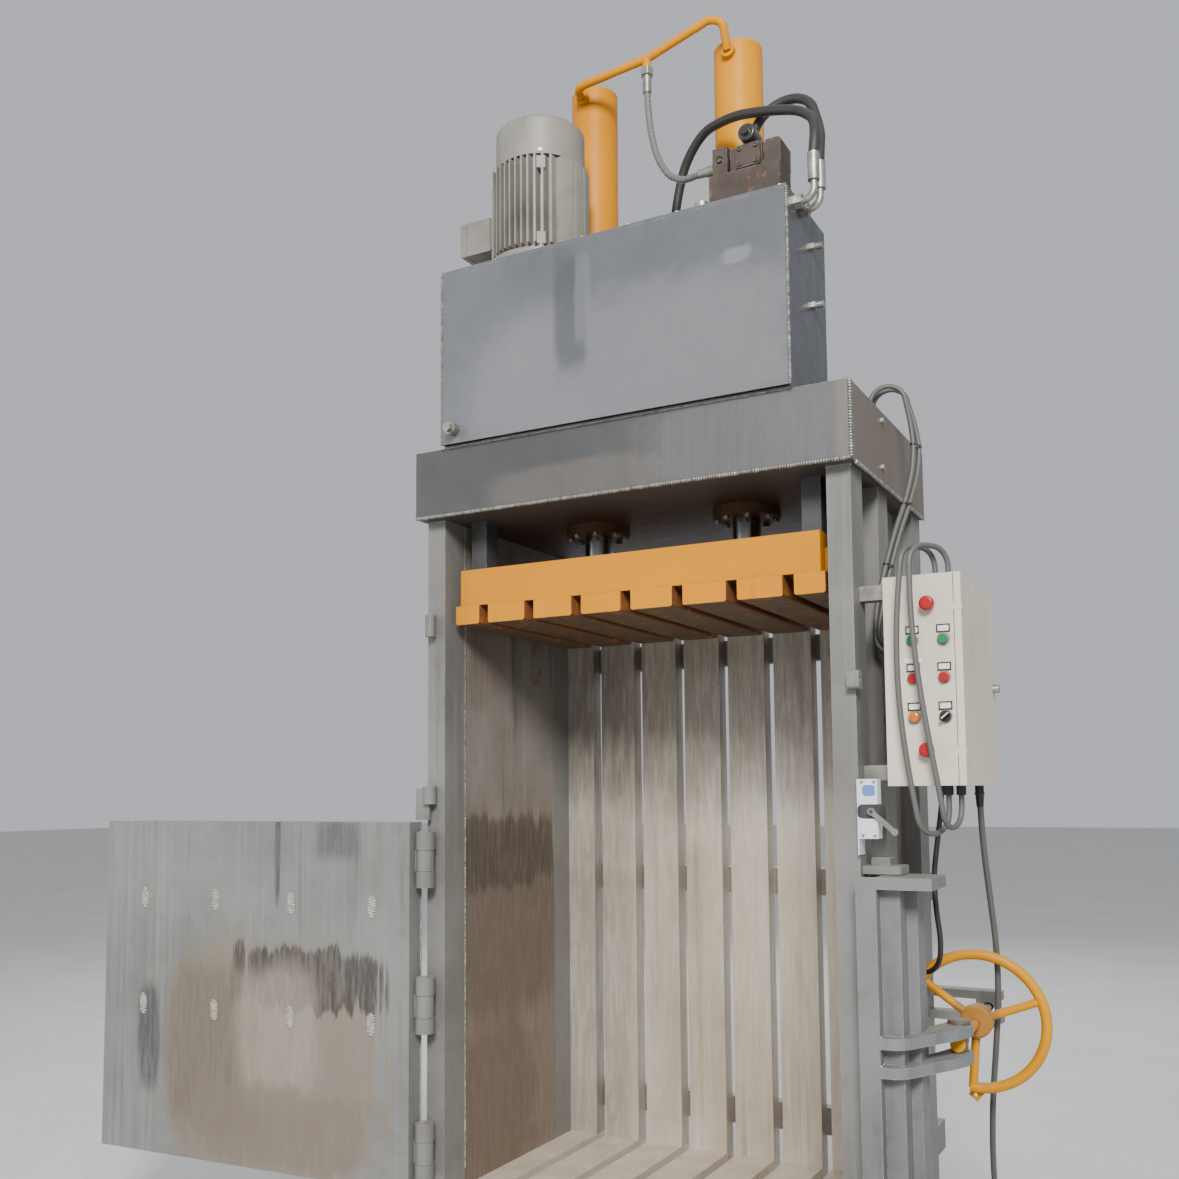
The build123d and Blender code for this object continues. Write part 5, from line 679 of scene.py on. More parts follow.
NODE_FINISHES: dict[str, object] = {
    "base_frame": FRAME_STEEL, "front_posts": FRAME_STEEL, "rear_posts": FRAME_STEEL,
    "side_walls": WALL_STEEL,
    "wall_stiffeners": FRAME_STEEL, "rear_slats": SLAT_STEEL, "floor_bars": FLOOR_STEEL,
    "crown_beam": CROWN_STEEL, "oil_tank": TANK_PAINT, "tank_lid": TANK_PAINT, "tank_plugs": ZINC,
    "cylinders": YELLOW_ENAMEL, "pressure_pipes": YELLOW_ENAMEL, "hose_fittings": ZINC,
    "valve_block": VALVE_IRON,
    "valve_cap": VALVE_IRON, "valve_solenoid": BLACK_ENAMEL, "motor_body": MOTOR_PAINT,
    "fan_cover": MOTOR_PAINT,
    "motor_fan": BLACK_PLASTIC, "oil_pump": ZINC, "post_hinges": FRAME_STEEL, "door_plate": DOOR_STEEL,
    "door_ribs": DOOR_BACK_STEEL, "platen_frame": PLATEN_ENAMEL, "platen_runners": PLATEN_RUNNER,
    "piston_rods": CHROME, "clamp_jaw": CLAMP_STEEL, "clamp_pin": CLAMP_STEEL, "clamp_brackets": FRAME_STEEL,
    "screw_trunnion": BARE_STEEL, "handwheel": WHEEL_ENAMEL, "switch_body": SWITCH_PLASTIC,
    "switch_lever": ZINC, "cabinet_body": CABINET_PAINT, "cabinet_door": CABINET_PAINT, "cabinet_lock": ZINC,
    "cabinet_brackets": ZINC, "control_gear": GEAR_FINISH, "button_bezels": ZINC,
    "emergency_top": RED_PLASTIC,
    "emergency_low": RED_PLASTIC, "start_button_right": GREEN_PLASTIC, "stop_button_right": RED_PLASTIC,
    "start_button_left": GREEN_PLASTIC, "stop_button_left": RED_PLASTIC, "selector_switch": BLACK_PLASTIC,
    "cable_fittings": BLACK_PLASTIC, "frame_bolts": ZINC, "valve_hose": BRAIDED_HOSE,
    "cylinder_hose": DARK_RUBBER, "return_hose": DARK_RUBBER, "crown_cable_1": SHEATH,
    "crown_cable_2": SHEATH,
    "loop_cable_1": SHEATH, "loop_cable_2": SHEATH, "side_cable": DARK_RUBBER, "supply_cable": SHEATH,
    "supply_coil": SHEATH, "supply_plug": RED_PLASTIC,
}


@dataclass
class Painter:
    """Makes each finish's material once and hands it out."""

    made: dict[str, bpy.types.Material] = field(default_factory=dict)

    def coat(self, finish: CoatedSteel | Moulded) -> bpy.types.Material:
        """Material of a finish, built when it is first asked for."""
        if finish.name not in self.made:
            self.made[finish.name] = finish.material()
        return self.made[finish.name]

    def dress_nodes(self) -> None:
        """Give every CAD node its finish."""
        for name, finish in NODE_FINISHES.items():
            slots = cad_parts[name].data.materials
            slots.clear()
            slots.append(self.coat(finish))
        log.info("finishes on %d nodes", len(NODE_FINISHES))


PAINTER = Painter()


# Geometry trees


def mesh_piece(name: str, shape: bpy.types.Mesh, finish: CoatedSteel | Moulded, body: str) -> bpy.types.Object:
    """Make a finished mesh a piece of the model.

    Args:
        name: name of the piece.
        shape: its mesh, in metres of the frame.
        finish: its finish.
        body: the body that it rides on.

    Returns:
        The new object.
    """
    shape.name = name
    shape.materials.clear()
    shape.materials.append(PAINTER.coat(finish))
    piece = bpy.data.objects.new(name, shape)
    bpy.context.scene.collection.objects.link(piece)
    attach(piece, body)
    log.info("%s: %d faces on %s", name, len(shape.polygons), body)
    return piece


class TreeMaker:
    """Base of the geometry trees: a tree with named inputs that ends in a plain mesh."""

    def __init__(self, name: str) -> None:
        """Open an empty tree with a geometry input and output."""
        self.tree = bpy.data.node_groups.new(name, "GeometryNodeTree")
        self.tree.interface.new_socket("Geometry", in_out="INPUT", socket_type="NodeSocketGeometry")
        self.tree.interface.new_socket("Geometry", in_out="OUTPUT", socket_type="NodeSocketGeometry")
        self.board = Board(self.tree)

    def name_input(self, name: str, kind: str) -> str:
        """Add a named input and return its identifier."""
        return self.tree.interface.new_socket(name, in_out="INPUT", socket_type=kind).identifier

    def close(self, geometry: Socket, material: Socket) -> None:
        """End the tree: instances made real, finish set."""
        real = self.board.add("GeometryNodeRealizeInstances")
        self.board.feed(real.inputs[0], geometry)
        painted = self.board.add("GeometryNodeSetMaterial")
        self.board.feed(painted.inputs["Geometry"], real.outputs[0])
        self.board.feed(painted.inputs["Material"], material)
        leave = self.board.add("NodeGroupOutput")
        self.board.feed(leave.inputs[0], painted.outputs[0])

    def grow(self, seed_shape: bpy.types.Mesh, values: dict[str, object]) -> bpy.types.Mesh:
        """Run the tree on a shape.

        Args:
            seed_shape: points or lines that the tree works on.
            values: the inputs by identifier.

        Returns:
            The plain mesh that comes out.
        """
        carrier = bpy.data.objects.new("carrier", seed_shape)
        bpy.context.scene.collection.objects.link(carrier)
        modifier = carrier.modifiers.new("tree", "NODES")
        modifier.node_group = self.tree
        for identifier, value in values.items():
            modifier[identifier] = value
        evaluated = carrier.evaluated_get(bpy.context.evaluated_depsgraph_get())
        shape = bpy.data.meshes.new_from_object(evaluated)
        carrier.modifiers.clear()
        bpy.data.objects.remove(carrier)
        return shape


class WeldBead(TreeMaker):
    """Row of overlapping ripples along lines, as a hand-laid weld."""

    def __init__(self) -> None:
        """Build the tree."""
        super().__init__("weld_bead")
        self.pitch = self.name_input("Ripple Pitch", "NodeSocketFloat")
        self.radius = self.name_input("Bead Radius", "NodeSocketFloat")
        self.finish = self.name_input("Finish", "NodeSocketMaterial")
        board = self.board
        given = board.add("NodeGroupInput").outputs
        line = board.add("GeometryNodeMeshToCurve")
        board.feed(line.inputs["Mesh"], given["Geometry"])
        spots = board.add("GeometryNodeCurveToPoints", mode="LENGTH")
        board.feed(spots.inputs["Curve"], line.outputs[0])
        board.feed(spots.inputs["Length"], given["Ripple Pitch"])
        ripple = board.add("GeometryNodeMeshIcoSphere")
        board.feed(ripple.inputs["Radius"], given["Bead Radius"])
        ripple.inputs["Subdivisions"].default_value = 2
        size = board.add("FunctionNodeRandomValue", data_type="FLOAT_VECTOR")
        size.inputs["Min"].default_value = (0.8, 0.8, 0.55)
        size.inputs["Max"].default_value = (1.1, 1.1, 0.85)
        size.inputs["Seed"].default_value = 7
        spread = board.add("GeometryNodeInstanceOnPoints")
        board.feed(spread.inputs["Points"], spots.outputs["Points"])
        board.feed(spread.inputs["Instance"], ripple.outputs["Mesh"])
        board.feed(spread.inputs["Rotation"], spots.outputs["Rotation"])
        board.feed(spread.inputs["Scale"], size.outputs[0])
        self.close(spread.outputs[0], given["Finish"])

    def lay(self, name: str, lines: Sequence[tuple[Triple, Triple]], radius: float, body: str,
            finish: CoatedSteel = WELD_METAL) -> bpy.types.Object:
        """Lay beads along straight lines.

        Args:
            name: name of the piece.
            lines: start and end of each bead, in metres of the frame.
            radius: half width of the bead, in metres.
            body: the body that it rides on.
            finish: how the bead looks.

        Returns:
            The piece.
        """
        shape = bpy.data.meshes.new(name)
        ends = [point for line in lines for point in line]
        shape.from_pydata(ends, [(2 * i, 2 * i + 1) for i in range(len(lines))], [])
        grown = self.grow(shape, {self.pitch: radius * 1.15, self.radius: radius,
                                  self.finish: PAINTER.coat(finish)})
        return mesh_piece(name, grown, finish, body)


class Spread(TreeMaker):
    """One small shape repeated at given points, all turned the same way."""

    def __init__(self) -> None:
        """Build the tree."""
        super().__init__("spread")
        self.sides = self.name_input("Sides", "NodeSocketInt")
        self.radius = self.name_input("Radius", "NodeSocketFloat")
        self.depth = self.name_input("Depth", "NodeSocketFloat")
        self.turn = self.name_input("Turn", "NodeSocketVector")
        self.finish = self.name_input("Finish", "NodeSocketMaterial")
        board = self.board
        given = board.add("NodeGroupInput").outputs
        foot = board.add("GeometryNodeMeshCylinder")
        board.feed(foot.inputs["Vertices"], given["Sides"])
        board.feed(foot.inputs["Radius"], given["Radius"])
        board.feed(foot.inputs["Depth"], given["Depth"])
        crown = board.add("GeometryNodeMeshCylinder")
        board.feed(crown.inputs["Vertices"], given["Sides"])
        board.feed(crown.inputs["Radius"], board.math("MULTIPLY", given["Radius"], 0.84))
        board.feed(crown.inputs["Depth"], board.math("MULTIPLY", given["Depth"], 1.24))
        both = board.add("GeometryNodeJoinGeometry")
        board.feed(both.inputs[0], foot.outputs["Mesh"])
        board.feed(both.inputs[0], crown.outputs["Mesh"])
        spots = board.add("GeometryNodeMeshToPoints")
        board.feed(spots.inputs["Mesh"], given["Geometry"])
        spread = board.add("GeometryNodeInstanceOnPoints")
        board.feed(spread.inputs["Points"], spots.outputs["Points"])
        board.feed(spread.inputs["Instance"], both.outputs[0])
        board.feed(spread.inputs["Rotation"], given["Turn"])
        self.close(spread.outputs[0], given["Finish"])

    def repeat(self, name: str, points: Sequence[Triple], sides: int, radius: float, depth: float,
               turn: Triple,
               finish: CoatedSteel | Moulded, body: str, slot: str) -> bpy.types.Object:
        """Repeat a small disc or hexagon.

        Args:
            name: name of the piece.
            points: centres, in metres of the frame.
            sides: corners of its outline.
            radius: its radius.
            depth: its thickness.
            turn: its turn about the three axes, in radians.
            finish: its finish.
            body: the body that it rides on.
            slot: not used.

        Returns:
            The piece.
        """
        shape = bpy.data.meshes.new(name)
        shape.from_pydata(list(points), [], [])
        values = {self.sides: sides, self.radius: radius, self.depth: depth, self.turn: turn,
                  self.finish: PAINTER.coat(finish)}
        return mesh_piece(name, self.grow(shape, values), finish, body)


class ScrewThread(TreeMaker):
    """Round ridge that winds along a bar."""

    def __init__(self) -> None:
        """Build the tree."""
        super().__init__("screw_thread")
        self.turns = self.name_input("Turns", "NodeSocketFloat")
        self.radius = self.name_input("Radius", "NodeSocketFloat")
        self.length = self.name_input("Length", "NodeSocketFloat")
        self.ridge = self.name_input("Ridge", "NodeSocketFloat")
        self.finish = self.name_input("Finish", "NodeSocketMaterial")
        board = self.board
        given = board.add("NodeGroupInput").outputs
        line = board.add("GeometryNodeCurveSpiral")
        line.inputs["Resolution"].default_value = 18
        board.feed(line.inputs["Rotations"], given["Turns"])
        board.feed(line.inputs["Start Radius"], given["Radius"])
        board.feed(line.inputs["End Radius"], given["Radius"])
        board.feed(line.inputs["Height"], given["Length"])
        section = board.add("GeometryNodeCurvePrimitiveCircle")
        section.inputs["Resolution"].default_value = 5
        board.feed(section.inputs["Radius"], given["Ridge"])
        swept = board.add("GeometryNodeCurveToMesh")
        board.feed(swept.inputs["Curve"], line.outputs[0])
        board.feed(swept.inputs["Profile Curve"], section.outputs[0])
        swept.inputs["Fill Caps"].default_value = True
        self.close(swept.outputs[0], given["Finish"])


# Mesh helpers


def turned_shape(profile: Sequence[tuple[float, float]], start: Triple, axis: Triple,
                 sides: int = 32) -> bpy.types.Mesh:
    """Closed round shape.

    Args:
        profile: (distance along the axis, radius) from one end to the other, in metres.
        start: where distance is zero.
        axis: direction of the axis.
        sides: corners round it.

    Returns:
        The mesh, in metres of the frame.
    """
    built = bmesh.new()
    rings = []
    turn = Vector(axis).to_track_quat("Z", "Y").to_matrix()
    for along, radius in profile:
        ring = []
        for index in range(sides):
            angle = 2 * pi * index / sides
            local = Vector((radius * cos(angle), radius * sin(angle), along))
            ring.append(built.verts.new(Vector(start) + turn @ local))
        rings.append(ring)
    for low, high in zip(rings, rings[1:]):
        for index in range(sides):
            after = (index + 1) % sides
            built.faces.new((low[index], low[after], high[after], high[index]))
    built.faces.new(list(reversed(rings[0])))
    built.faces.new(rings[-1])
    bmesh.ops.recalc_face_normals(built, faces=built.faces)
    return finish_shape(built, smooth_angle=35)


def finish_shape(built: bmesh.types.BMesh, smooth_angle: float) -> bpy.types.Mesh:
    """Turn a worked mesh into plain mesh data, smooth below the angle."""
    shape = bpy.data.meshes.new("shape")
    for edge in built.edges:
        edge.smooth = edge.calc_face_angle(pi) < radians(smooth_angle)
    for face in built.faces:
        face.smooth = True
    built.to_mesh(shape)
    built.free()
    return shape


def plate_shape(boxes: Sequence[tuple[Triple, Triple]], rounding: float) -> bpy.types.Mesh:
    """Plates with rounded edges.

    Args:
        boxes: lowest and highest corner of each, in metres of the frame.
        rounding: radius of the edges.

    Returns:
        One mesh of all of them.
    """
    built = bmesh.new()
    for low, high in boxes:
        middle = (Vector(low) + Vector(high)) / 2
        size = Vector(high) - Vector(low)
        made = bmesh.ops.create_cube(built, size=1.0,
                                     matrix=Matrix.Translation(middle) @ Matrix.Diagonal((*size, 1)))
        edges = list({edge for corner in made["verts"] for edge in corner.link_edges})
        bmesh.ops.bevel(built, geom=edges, offset=rounding, segments=2, affect="EDGES", clamp_overlap=True)
    return finish_shape(built, smooth_angle=50)


def ring_shape(outline: Sequence[Triple], thickness: float, height: float) -> bpy.types.Mesh:
    """Flat band that follows a closed level outline.

    Args:
        outline: points of its inner side, counter-clockwise from above.
        thickness: how far it stands out.
        height: how tall it is.

    Returns:
        The closed mesh.
    """
    built = bmesh.new()
    middle = sum((Vector(point) for point in outline), Vector()) / len(outline)
    loops: list[list[bmesh.types.BMVert]] = []
    for out, level in ((0.0, -0.5), (1.0, -0.35), (1.0, 0.35), (0.0, 0.5)):
        loop = []
        for point in outline:
            away = (Vector(point) - middle).normalized()
            spot = Vector(point) + away * thickness * out + Vector((0, 0, height * level))
            loop.append(built.verts.new(spot))
        loops.append(loop)
    count = len(outline)
    for low, high in zip(loops, loops[1:] + loops[:1]):
        for index in range(count):
            after = (index + 1) % count
            built.faces.new((low[index], low[after], high[after], high[index]))
    bmesh.ops.recalc_face_normals(built, faces=built.faces)
    return finish_shape(built, smooth_angle=40)


def section_centre(node: str, level: float, depth: float = 0.012) -> Vector:
    """Middle of a thin upright cable at a height, from its CAD mesh."""
    near = [vertex.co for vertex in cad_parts[node].data.vertices if abs(vertex.co.z - level) < depth]
    return sum(near, Vector()) / len(near)


# Sub-assemblies


@dataclass
class MainFrame:
    """Posts, walls and crown: the weld beads and small clips that the CAD leaves out."""

    crown_half: float = 640.0
    crown_front: float = -40.0
    crown_levels: tuple[float, float] = (2147.0, 2342.0)
    post_edges: tuple[float, float] = (565.0, 625.0)
    bead: float = 0.006

    def build(self, welds: WeldBead, spread: Spread) -> None:
        """Lay the beads and set the clips."""
        low, high = self.crown_levels
        x, y = self.crown_half, self.crown_front
        welds.lay("crown_welds", [
            (place(-x + 4, y, low + 2), place(x - 4, y, low + 2)),
            (place(x, y + 1, low + 6), place(x, y + 1, high - 6)),
            (place(x, 0, low), place(x, 700, low)),
        ], self.bead, "machine")
        inner, outer = self.post_edges
        corner = []
        for side in (-1, 1):
            for depth in (3, 97):
                corner.append((place(side * inner, depth, low - 3), place(side * outer, depth, low - 3)))
            inside = side * (inner + 1)
            corner.append((place(inside, 102, 300), place(inside, 102, 2140)))
        welds.lay("post_welds", corner, 0.004, "machine")
        clips = [place(642, 248, 2316), place(642, 242, 2191)]
        spread.repeat("crown_clip_bolts", clips, 6, 0.009, 0.008, (0, pi / 2, 0), ZINC, "machine",
                      "zinc_steel")


@dataclass
class TankGroup:
    """Oil tank on the crown with its seams."""

    left: float = -535.0
    right: float = 500.0
    front: float = -60.0
    back: float = 250.0
    levels: tuple[float, float] = (2342.0, 2854.0)

    def build(self, welds: WeldBead, spread: Spread) -> None:
        """Lay the seams and the lid's screws."""
        low, high = self.levels
        seam = [
            (place(self.right, self.front + 1, low + 6), place(self.right, self.front + 1, high - 10)),
            (place(self.left, self.front + 1, low + 6), place(self.left, self.front + 1, high - 10)),
            (place(self.left + 8, -41, low + 1), place(self.right - 8, -41, low + 1)),
        ]
        welds.lay("tank_welds", seam, 0.005, "machine")
        heads = [place(x, y, high + 3) for x in range(-500, 481, 140) for y in (self.front + 16,
                                                                                self.back - 16)
                 if abs(x - 340) > 110]
        spread.repeat("lid_screws", heads, 6, 0.008, 0.006, (0, 0, 0.3), ZINC, "machine", "zinc_steel")


@dataclass
class Drive:
    """Motor: the screws of its cover and of its terminal box."""

    motor: tuple[float, float] = (-295.0, 95.0)
    cover_radius: float = 129.0

    def build(self, spread: Spread) -> None:
        """Set the cover's screws and the terminal box's screws."""
        x, y = self.motor
        for index, angle in enumerate((-60.0, 30.0, 120.0, 210.0)):
            reach = self.cover_radius + 1
            point = place(x + reach * cos(radians(angle)), y + reach * sin(radians(angle)), 3162)
            spread.repeat(f"cover_screw_{index + 1}", [point], 6, 0.0065, 0.005,
                          (0, pi / 2, radians(angle)), ZINC,
                          "machine", "zinc_steel")
        left = x - 142 - 104
        box = [place(left - 1, y + side, level) for side in (-42, 42) for level in (2952, 3028)]
        spread.repeat("terminal_screws", box, 12, 0.005, 0.004, (0, pi / 2, 0), ZINC, "machine", "zinc_steel")


@dataclass
class Door:
    """Open front door with the plug welds that hold its ribs."""

    hinge: tuple[float, float] = (-605.0, -37.0)
    open_angle: float = 177.0
    face: float = -1.0
    columns: tuple[float, ...] = (-449.0, -160.7, 127.7, 416.0)
    rows: tuple[float, ...] = (1040.0, 712.0)
    left_edge: float = -576.0
    levels: tuple[float, float] = (266.0, 1279.0)

    def opened(self, x: float, y: float, z: float) -> Triple:
        """Point of the closed door, carried to the open rest place."""
        angle = radians(-self.open_angle)
        dx, dy = x - self.hinge[0], y - self.hinge[1]
        return place(self.hinge[0] + dx * cos(angle) - dy * sin(angle),
                     self.hinge[1] + dx * sin(angle) + dy * cos(angle), z)

    def build(self, welds: WeldBead) -> None:
        """Lay the plug welds and the bead at the door's free edge."""
        beads = []
        for x in self.columns:
            for z in self.rows:
                for side, low, high in ((-8, -20, 18), (-3, -27, 25), (3, -25, 29), (8, -18, 21)):
                    beads.append(tuple(self.opened(x + side, self.face, z + rise) for rise in (low, high)))
        welds.lay("door_plug_welds", beads, 0.006, "door", PLUG_WELD)
        left = self.left_edge
        low, high = self.levels
        welds.lay("door_welds", [
            (self.opened(left + 1, -60, low + 10), self.opened(left + 1, -60, high - 10)),
        ], 0.004, "door")


@dataclass
class DoorClamp:
    """Screw clamp: thread of the screw and beads on the clamp's arms."""

    trunnion: Triple = (800.0, 190.0, 757.0)
    angle: float = 2.748088
    bar_radius: float = 12.0
    thread_span: tuple[float, float] = (330.0, 630.0)
    pitch: float = 10.0

    def build(self, welds: WeldBead, thread: ScrewThread) -> None:
        """Wind the thread and lay the beads."""
        start, end = self.thread_span
        length = (end - start) / 1000
        seed = bpy.data.meshes.new("thread_seed")
        seed.from_pydata([(0, 0, 0)], [], [])
        grown = thread.grow(seed, {thread.turns: length * 1000 / self.pitch,
                                   thread.radius: self.bar_radius / 1000,
                                   thread.length: length, thread.ridge: 0.0016,
                                   thread.finish: PAINTER.coat(BARE_STEEL)})
        axis = Vector((-sin(radians(self.angle)), cos(radians(self.angle)), 0))
        origin = Vector(place(*self.trunnion)) + axis * start / 1000
        grown.transform(Matrix.Translation(origin) @ axis.to_track_quat("Z", "Y").to_matrix().to_4x4())
        mesh_piece("screw_thread", grown, BARE_STEEL, "wheel")
        beads = [(place(676, -59, level), place(676, -28, level)) for level in (712, 737, 776, 801)]
        beads += [(place(678, -28, level), place(720, -28, level)) for level in (712, 737, 776, 801)]
        welds.lay("clamp_welds", beads, 0.004, "clamp")


@dataclass
class ControlCabinet:
    """Cabinet front: blank legend plates, lamp lens and selector pointer."""

    face: float = 20.0
    right_column: float = 828.0
    left_column: float = 757.0
    rows: tuple[float, ...] = (1707.0, 1618.0, 1527.0)
    rise: float = 25.0
    wide: float = 31.0
    tall: float = 19.0

    def build(self) -> None:
        """Set every small piece of the front."""
        frames, plates = [], []
        front = self.face - 1.5
        for x in (self.left_column, self.right_column):
            for row in self.rows:
                z = row + self.rise
                half, tall = self.wide / 2, self.tall / 2
                for low, high in (((x - half, z - tall), (x + half, z - tall + 3)),
                                  ((x - half, z + tall - 3), (x + half, z + tall)),
                                  ((x - half, z - tall), (x - half + 3, z + tall)),
                                  ((x + half - 3, z - tall), (x + half, z + tall))):
                    frames.append((place(low[0], front - 1.4, low[1]), place(high[0], front + 0.2, high[1])))
                plates.append((place(x - half + 2, front - 0.6, z - tall + 2),
                               place(x + half - 2, front, z + tall - 2)))
        x, z = self.left_column, 1660.0
        plates.append((place(x - 21, self.face - 1.2, z - 5), place(x + 21, self.face + 0.2, z + 5)))
        mesh_piece("legend_frames", plate_shape(frames, 0.0003), BLACK_PLASTIC, "machine")
        mesh_piece("legend_plates", plate_shape(plates, 0.0002), WHITE_PLASTIC, "machine")
        lens = [(0.0, 0.0122), (0.006, 0.0122), (0.009, 0.0108), (0.0105, 0.007), (0.011, 0.002)]
        start = place(self.left_column, self.face - 4, self.rows[2])
        mesh_piece("lamp_lens", turned_shape(lens, start, (0, -1, 0)), AMBER_PLASTIC, "machine")
        self.pointer()

    def pointer(self) -> None:
        """White line on the selector's bar."""
        angle = radians(-40)
        middle = Vector(place(self.right_column, self.face - 21.2, self.rows[2]))
        shape = plate_shape([((-0.009, -0.0005, -0.0013), (0.012, 0.0005, 0.0013))], 0.0003)
        shape.transform(Matrix.Translation(middle) @ Matrix.Rotation(-angle, 4, "Y").inverted())
        mesh_piece("selector_pointer", shape, WHITE_PLASTIC, "selector")


# The supply cable's route, the same points as the CAD solid's, in millimetres of the drawing
SUPPLY_ROUTE = (
    (828, 396, 1346), (828, 400, 1305), (826, 434, 1210), (829, 482, 1082), (836, 516, 945), (834, 530, 812),
    (822, 542, 688), (806, 566, 566), (793, 604, 450), (784, 650, 340), (778, 702, 238), (773, 752, 146),
    (768, 794, 72),
)


@dataclass
class Cabling:
    """Ties on the cable bundles, and the supply cable with its coil and plug."""

    radius: float = 8.0
    coil_middle: tuple[float, float] = (700.0, 900.0)
    plug_end: Triple = (561.0, 930.0, 26.0)

    def tie(self, name: str, nodes: tuple[str, str], level: float) -> None:
        """One tie round two cables at a height."""
        centres = [section_centre(node, level) for node in nodes]
        middle = (centres[0] + centres[1]) / 2
        away = (centres[1] - centres[0])
        span = away.length / 2
        away = away.normalized()
        across = Vector((-away.y, away.x, 0)).normalized()
        reach = 0.0072
        outline = []
        for index in range(40):
            angle = 2 * pi * index / 40
            side = 1 if cos(angle) > 0 else -1
            spot = middle + away * (span * side + reach * cos(angle)) + across * reach * sin(angle)
            outline.append((spot.x, spot.y, spot.z))
        mesh_piece(name, ring_shape(outline, 0.0014, 0.0048), BLACK_PLASTIC, "machine")

    def coil_points(self) -> list[Triple]:
        """Control points of the coil: one turn on top, then two side by side below it."""
        cx, cy = self.coil_middle
        outward = 1 / 0.975
        legs = ((0.0, 255.0, 90.5, 92.0, 25.0, 23.0), (285.0, 555.0, 86.0, 83.5, 11.0, 8.5),
                (585.0, 645.0, 87.0, 99.0, 8.2, 8.2), (675.0, 815.0, 100.5, 100.5, 8.2, 8.2))
        points = []
        for start, end, near, far, high, low in legs:
            count = round((end - start) / 30) or 1
            for index in range(count + 1):
                share = index / count
                angle = radians(start + (end - start) * share)
                reach = (near + (far - near) * share) * outward
                points.append((cx + reach * cos(angle), cy + reach * sin(angle), high + (low - high) * share))
        return points

    def supply(self) -> None:
        """Supply cable as one smooth cord down to its coil and plug."""
        tail = [(650, 1003, 8.5), (612, 1002, 12), (580, 984, 19), (564, 957, 25), self.plug_end]
        lead = [(768, 826, 40), (781, 862, 27)]
        points = [place(*spot) for spot in list(SUPPLY_ROUTE) + lead + self.coil_points() + tail]
        data = bpy.data.curves.new("supply_cord", "CURVE")
        data.dimensions = "3D"
        line = data.splines.new("NURBS")
        line.points.add(len(points) - 1)
        for spot, place_at in zip(line.points, points):
            spot.co = (*place_at, 1.0)
        line.order_u = 3
        line.use_endpoint_u = True
        line.resolution_u = 6
        data.bevel_depth = self.radius / 1000
        data.bevel_resolution = 4
        data.use_fill_caps = True
        cable = bpy.data.objects.new("supply_cord", data)
        bpy.context.scene.collection.objects.link(cable)
        data.materials.append(PAINTER.coat(SHEATH))
        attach(cable, "machine")
        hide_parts("supply_cable", "supply_coil")
        plug = self.plug()
        log.info("supply cable laid")

    def plug(self) -> bpy.types.Object:
        """Round plug with grip rings and a collar."""
        profile = [(0.0, 0.0095), (0.006, 0.012), (0.016, 0.0135), (0.018, 0.019), (0.03, 0.0215),
                   (0.034, 0.0215),
                   (0.036, 0.0235), (0.046, 0.0235), (0.048, 0.0215), (0.052, 0.0215), (0.054, 0.0235),
                   (0.064, 0.0235), (0.066, 0.0215), (0.07, 0.0215), (0.072, 0.0255), (0.108, 0.0255),
                   (0.11, 0.0245), (0.11, 0.0225), (0.084, 0.0215)]
        shape = turned_shape(profile, place(561, 955, 26), (0, -1, 0), 40)
        plug = mesh_piece("plug_body", shape, RED_PLASTIC, "machine")
        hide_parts("supply_plug")
        return plug

    def build(self) -> None:
        """Set the ties, the strain relief and the supply cable."""
        pair = ("crown_cable_1", "crown_cable_2")
        for index, level in enumerate((2.262, 2.1, 1.93)):
            self.tie(f"bundle_tie_{index + 1}", pair, level)
        relief = [(0.0, 0.0125), (0.004, 0.0125), (0.006, 0.0108), (0.03, 0.0092), (0.036, 0.0088)]
        shape = turned_shape(relief, place(828, 396, 1350), (0, 0.04, -1), 24)
        mesh_piece("supply_relief", shape, BLACK_PLASTIC, "machine")
        self.supply()


@dataclass
class LimitSwitch:
    """Small screws of the limit switch."""

    def build(self, spread: Spread) -> None:
        """Set its screws."""
        spots = [place(x, -12.5, z) for x in (636, 665) for z in (1253, 1378)]
        spread.repeat("switch_screws", spots, 16, 0.0032, 0.0024, (pi / 2, 0, 0), ZINC, "machine",
                      "zinc_steel")


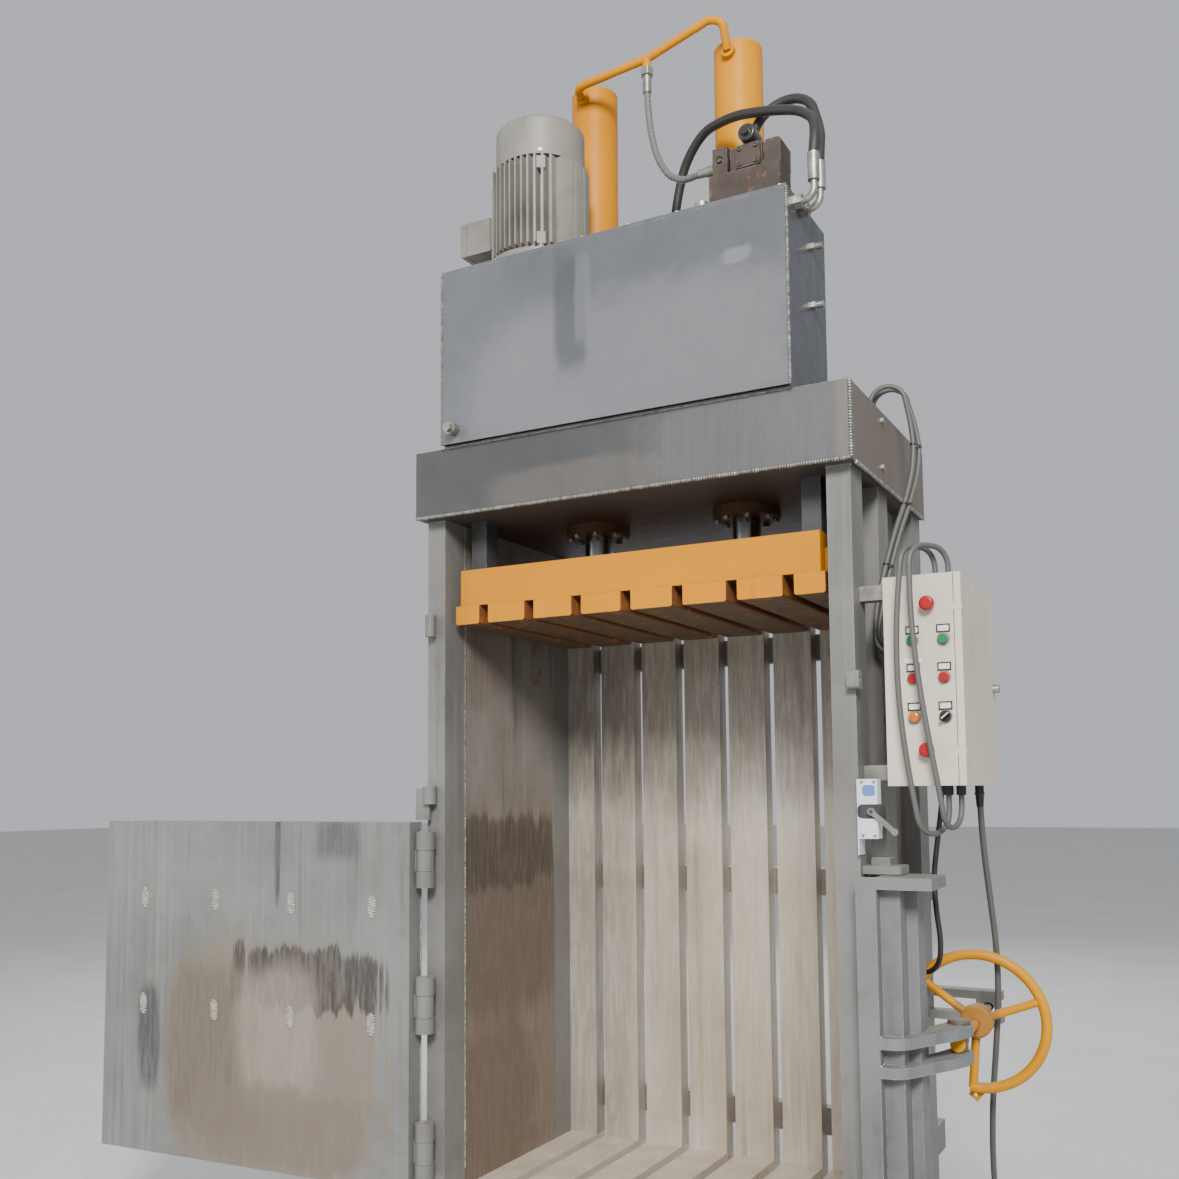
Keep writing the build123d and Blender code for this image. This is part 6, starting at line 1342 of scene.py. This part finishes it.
@dataclass
class Studio:
    """Pale floor, soft light and the camera."""

    camera_place: Triple = (1.404, -3.157, 1.362)
    yaw: float = 28.56
    pitch: float = 4.61
    roll: float = -0.47
    lens: float = 36.03
    shift: float = 0.0903

    def lamp(self, name: str, spot: Triple, aim: Triple, size: float, power: float, colour: Triple) -> None:
        """Add one square area light."""
        data = bpy.data.lights.new(name, "AREA")
        data.size = size
        data.energy = power
        data.color = colour
        lamp = bpy.data.objects.new(name, data)
        lamp.location = spot
        lamp.rotation_euler = (Vector(aim) - Vector(spot)).to_track_quat("-Z", "Y").to_euler()
        bpy.context.scene.collection.objects.link(lamp)

    def build(self) -> None:
        """Set up floor, world, lights and camera."""
        shape = bpy.data.meshes.new("floor")
        reach = 40.0
        shape.from_pydata([(-reach, -reach, 0), (reach, -reach, 0), (reach, reach, 0), (-reach, reach, 0)],
                          [],
                          [(0, 1, 2, 3)])
        shape.materials.append(PAINTER.coat(FLOOR_COAT))
        floor = bpy.data.objects.new("floor", shape)
        bpy.context.scene.collection.objects.link(floor)
        world = bpy.data.worlds.new("studio")
        world.use_nodes = True
        sky = world.node_tree.nodes["Background"]
        sky.inputs["Color"].default_value = (0.86, 0.9, 0.96, 1)
        sky.inputs["Strength"].default_value = 0.62
        bpy.context.scene.world = world
        self.lamp("key_light", (3.0, -6.6, 5.6), (0.0, 0.0, 1.5), 2.2, 1050.0, (1.0, 0.97, 0.92))
        self.lamp("fill_light", (-5.0, -4.5, 3.5), (-0.4, 0.0, 1.4), 4.0, 130.0, (0.94, 0.97, 1.0))
        self.lamp("back_light", (-2.5, 5.5, 4.5), (0.0, 0.0, 1.8), 3.5, 220.0, (0.96, 0.98, 1.0))
        data = bpy.data.cameras.new("photo_view")
        data.lens = self.lens
        data.sensor_width = 36.0
        data.shift_y = self.shift
        data.clip_end = 200.0
        camera = bpy.data.objects.new("photo_view", data)
        turn = (Matrix.Rotation(radians(self.yaw), 4, "Z") @ Matrix.Rotation(radians(90 + self.pitch), 4, "X")
                @ Matrix.Rotation(radians(self.roll), 4, "Z"))
        camera.matrix_world = Matrix.Translation(self.camera_place) @ turn
        bpy.context.scene.collection.objects.link(camera)
        bpy.context.scene.camera = camera
        log.info("studio ready")


def main() -> None:
    """Dress the model, one sub-assembly after another."""
    PAINTER.dress_nodes()
    welds, spread, thread = WeldBead(), Spread(), ScrewThread()
    Studio().build()
    Cabling().build()
    MainFrame().build(welds, spread)
    TankGroup().build(welds, spread)
    Drive().build(spread)
    Door().build(welds)
    DoorClamp().build(welds, thread)
    ControlCabinet().build()
    LimitSwitch().build(spread)


if __name__ == "__main__":
    main()
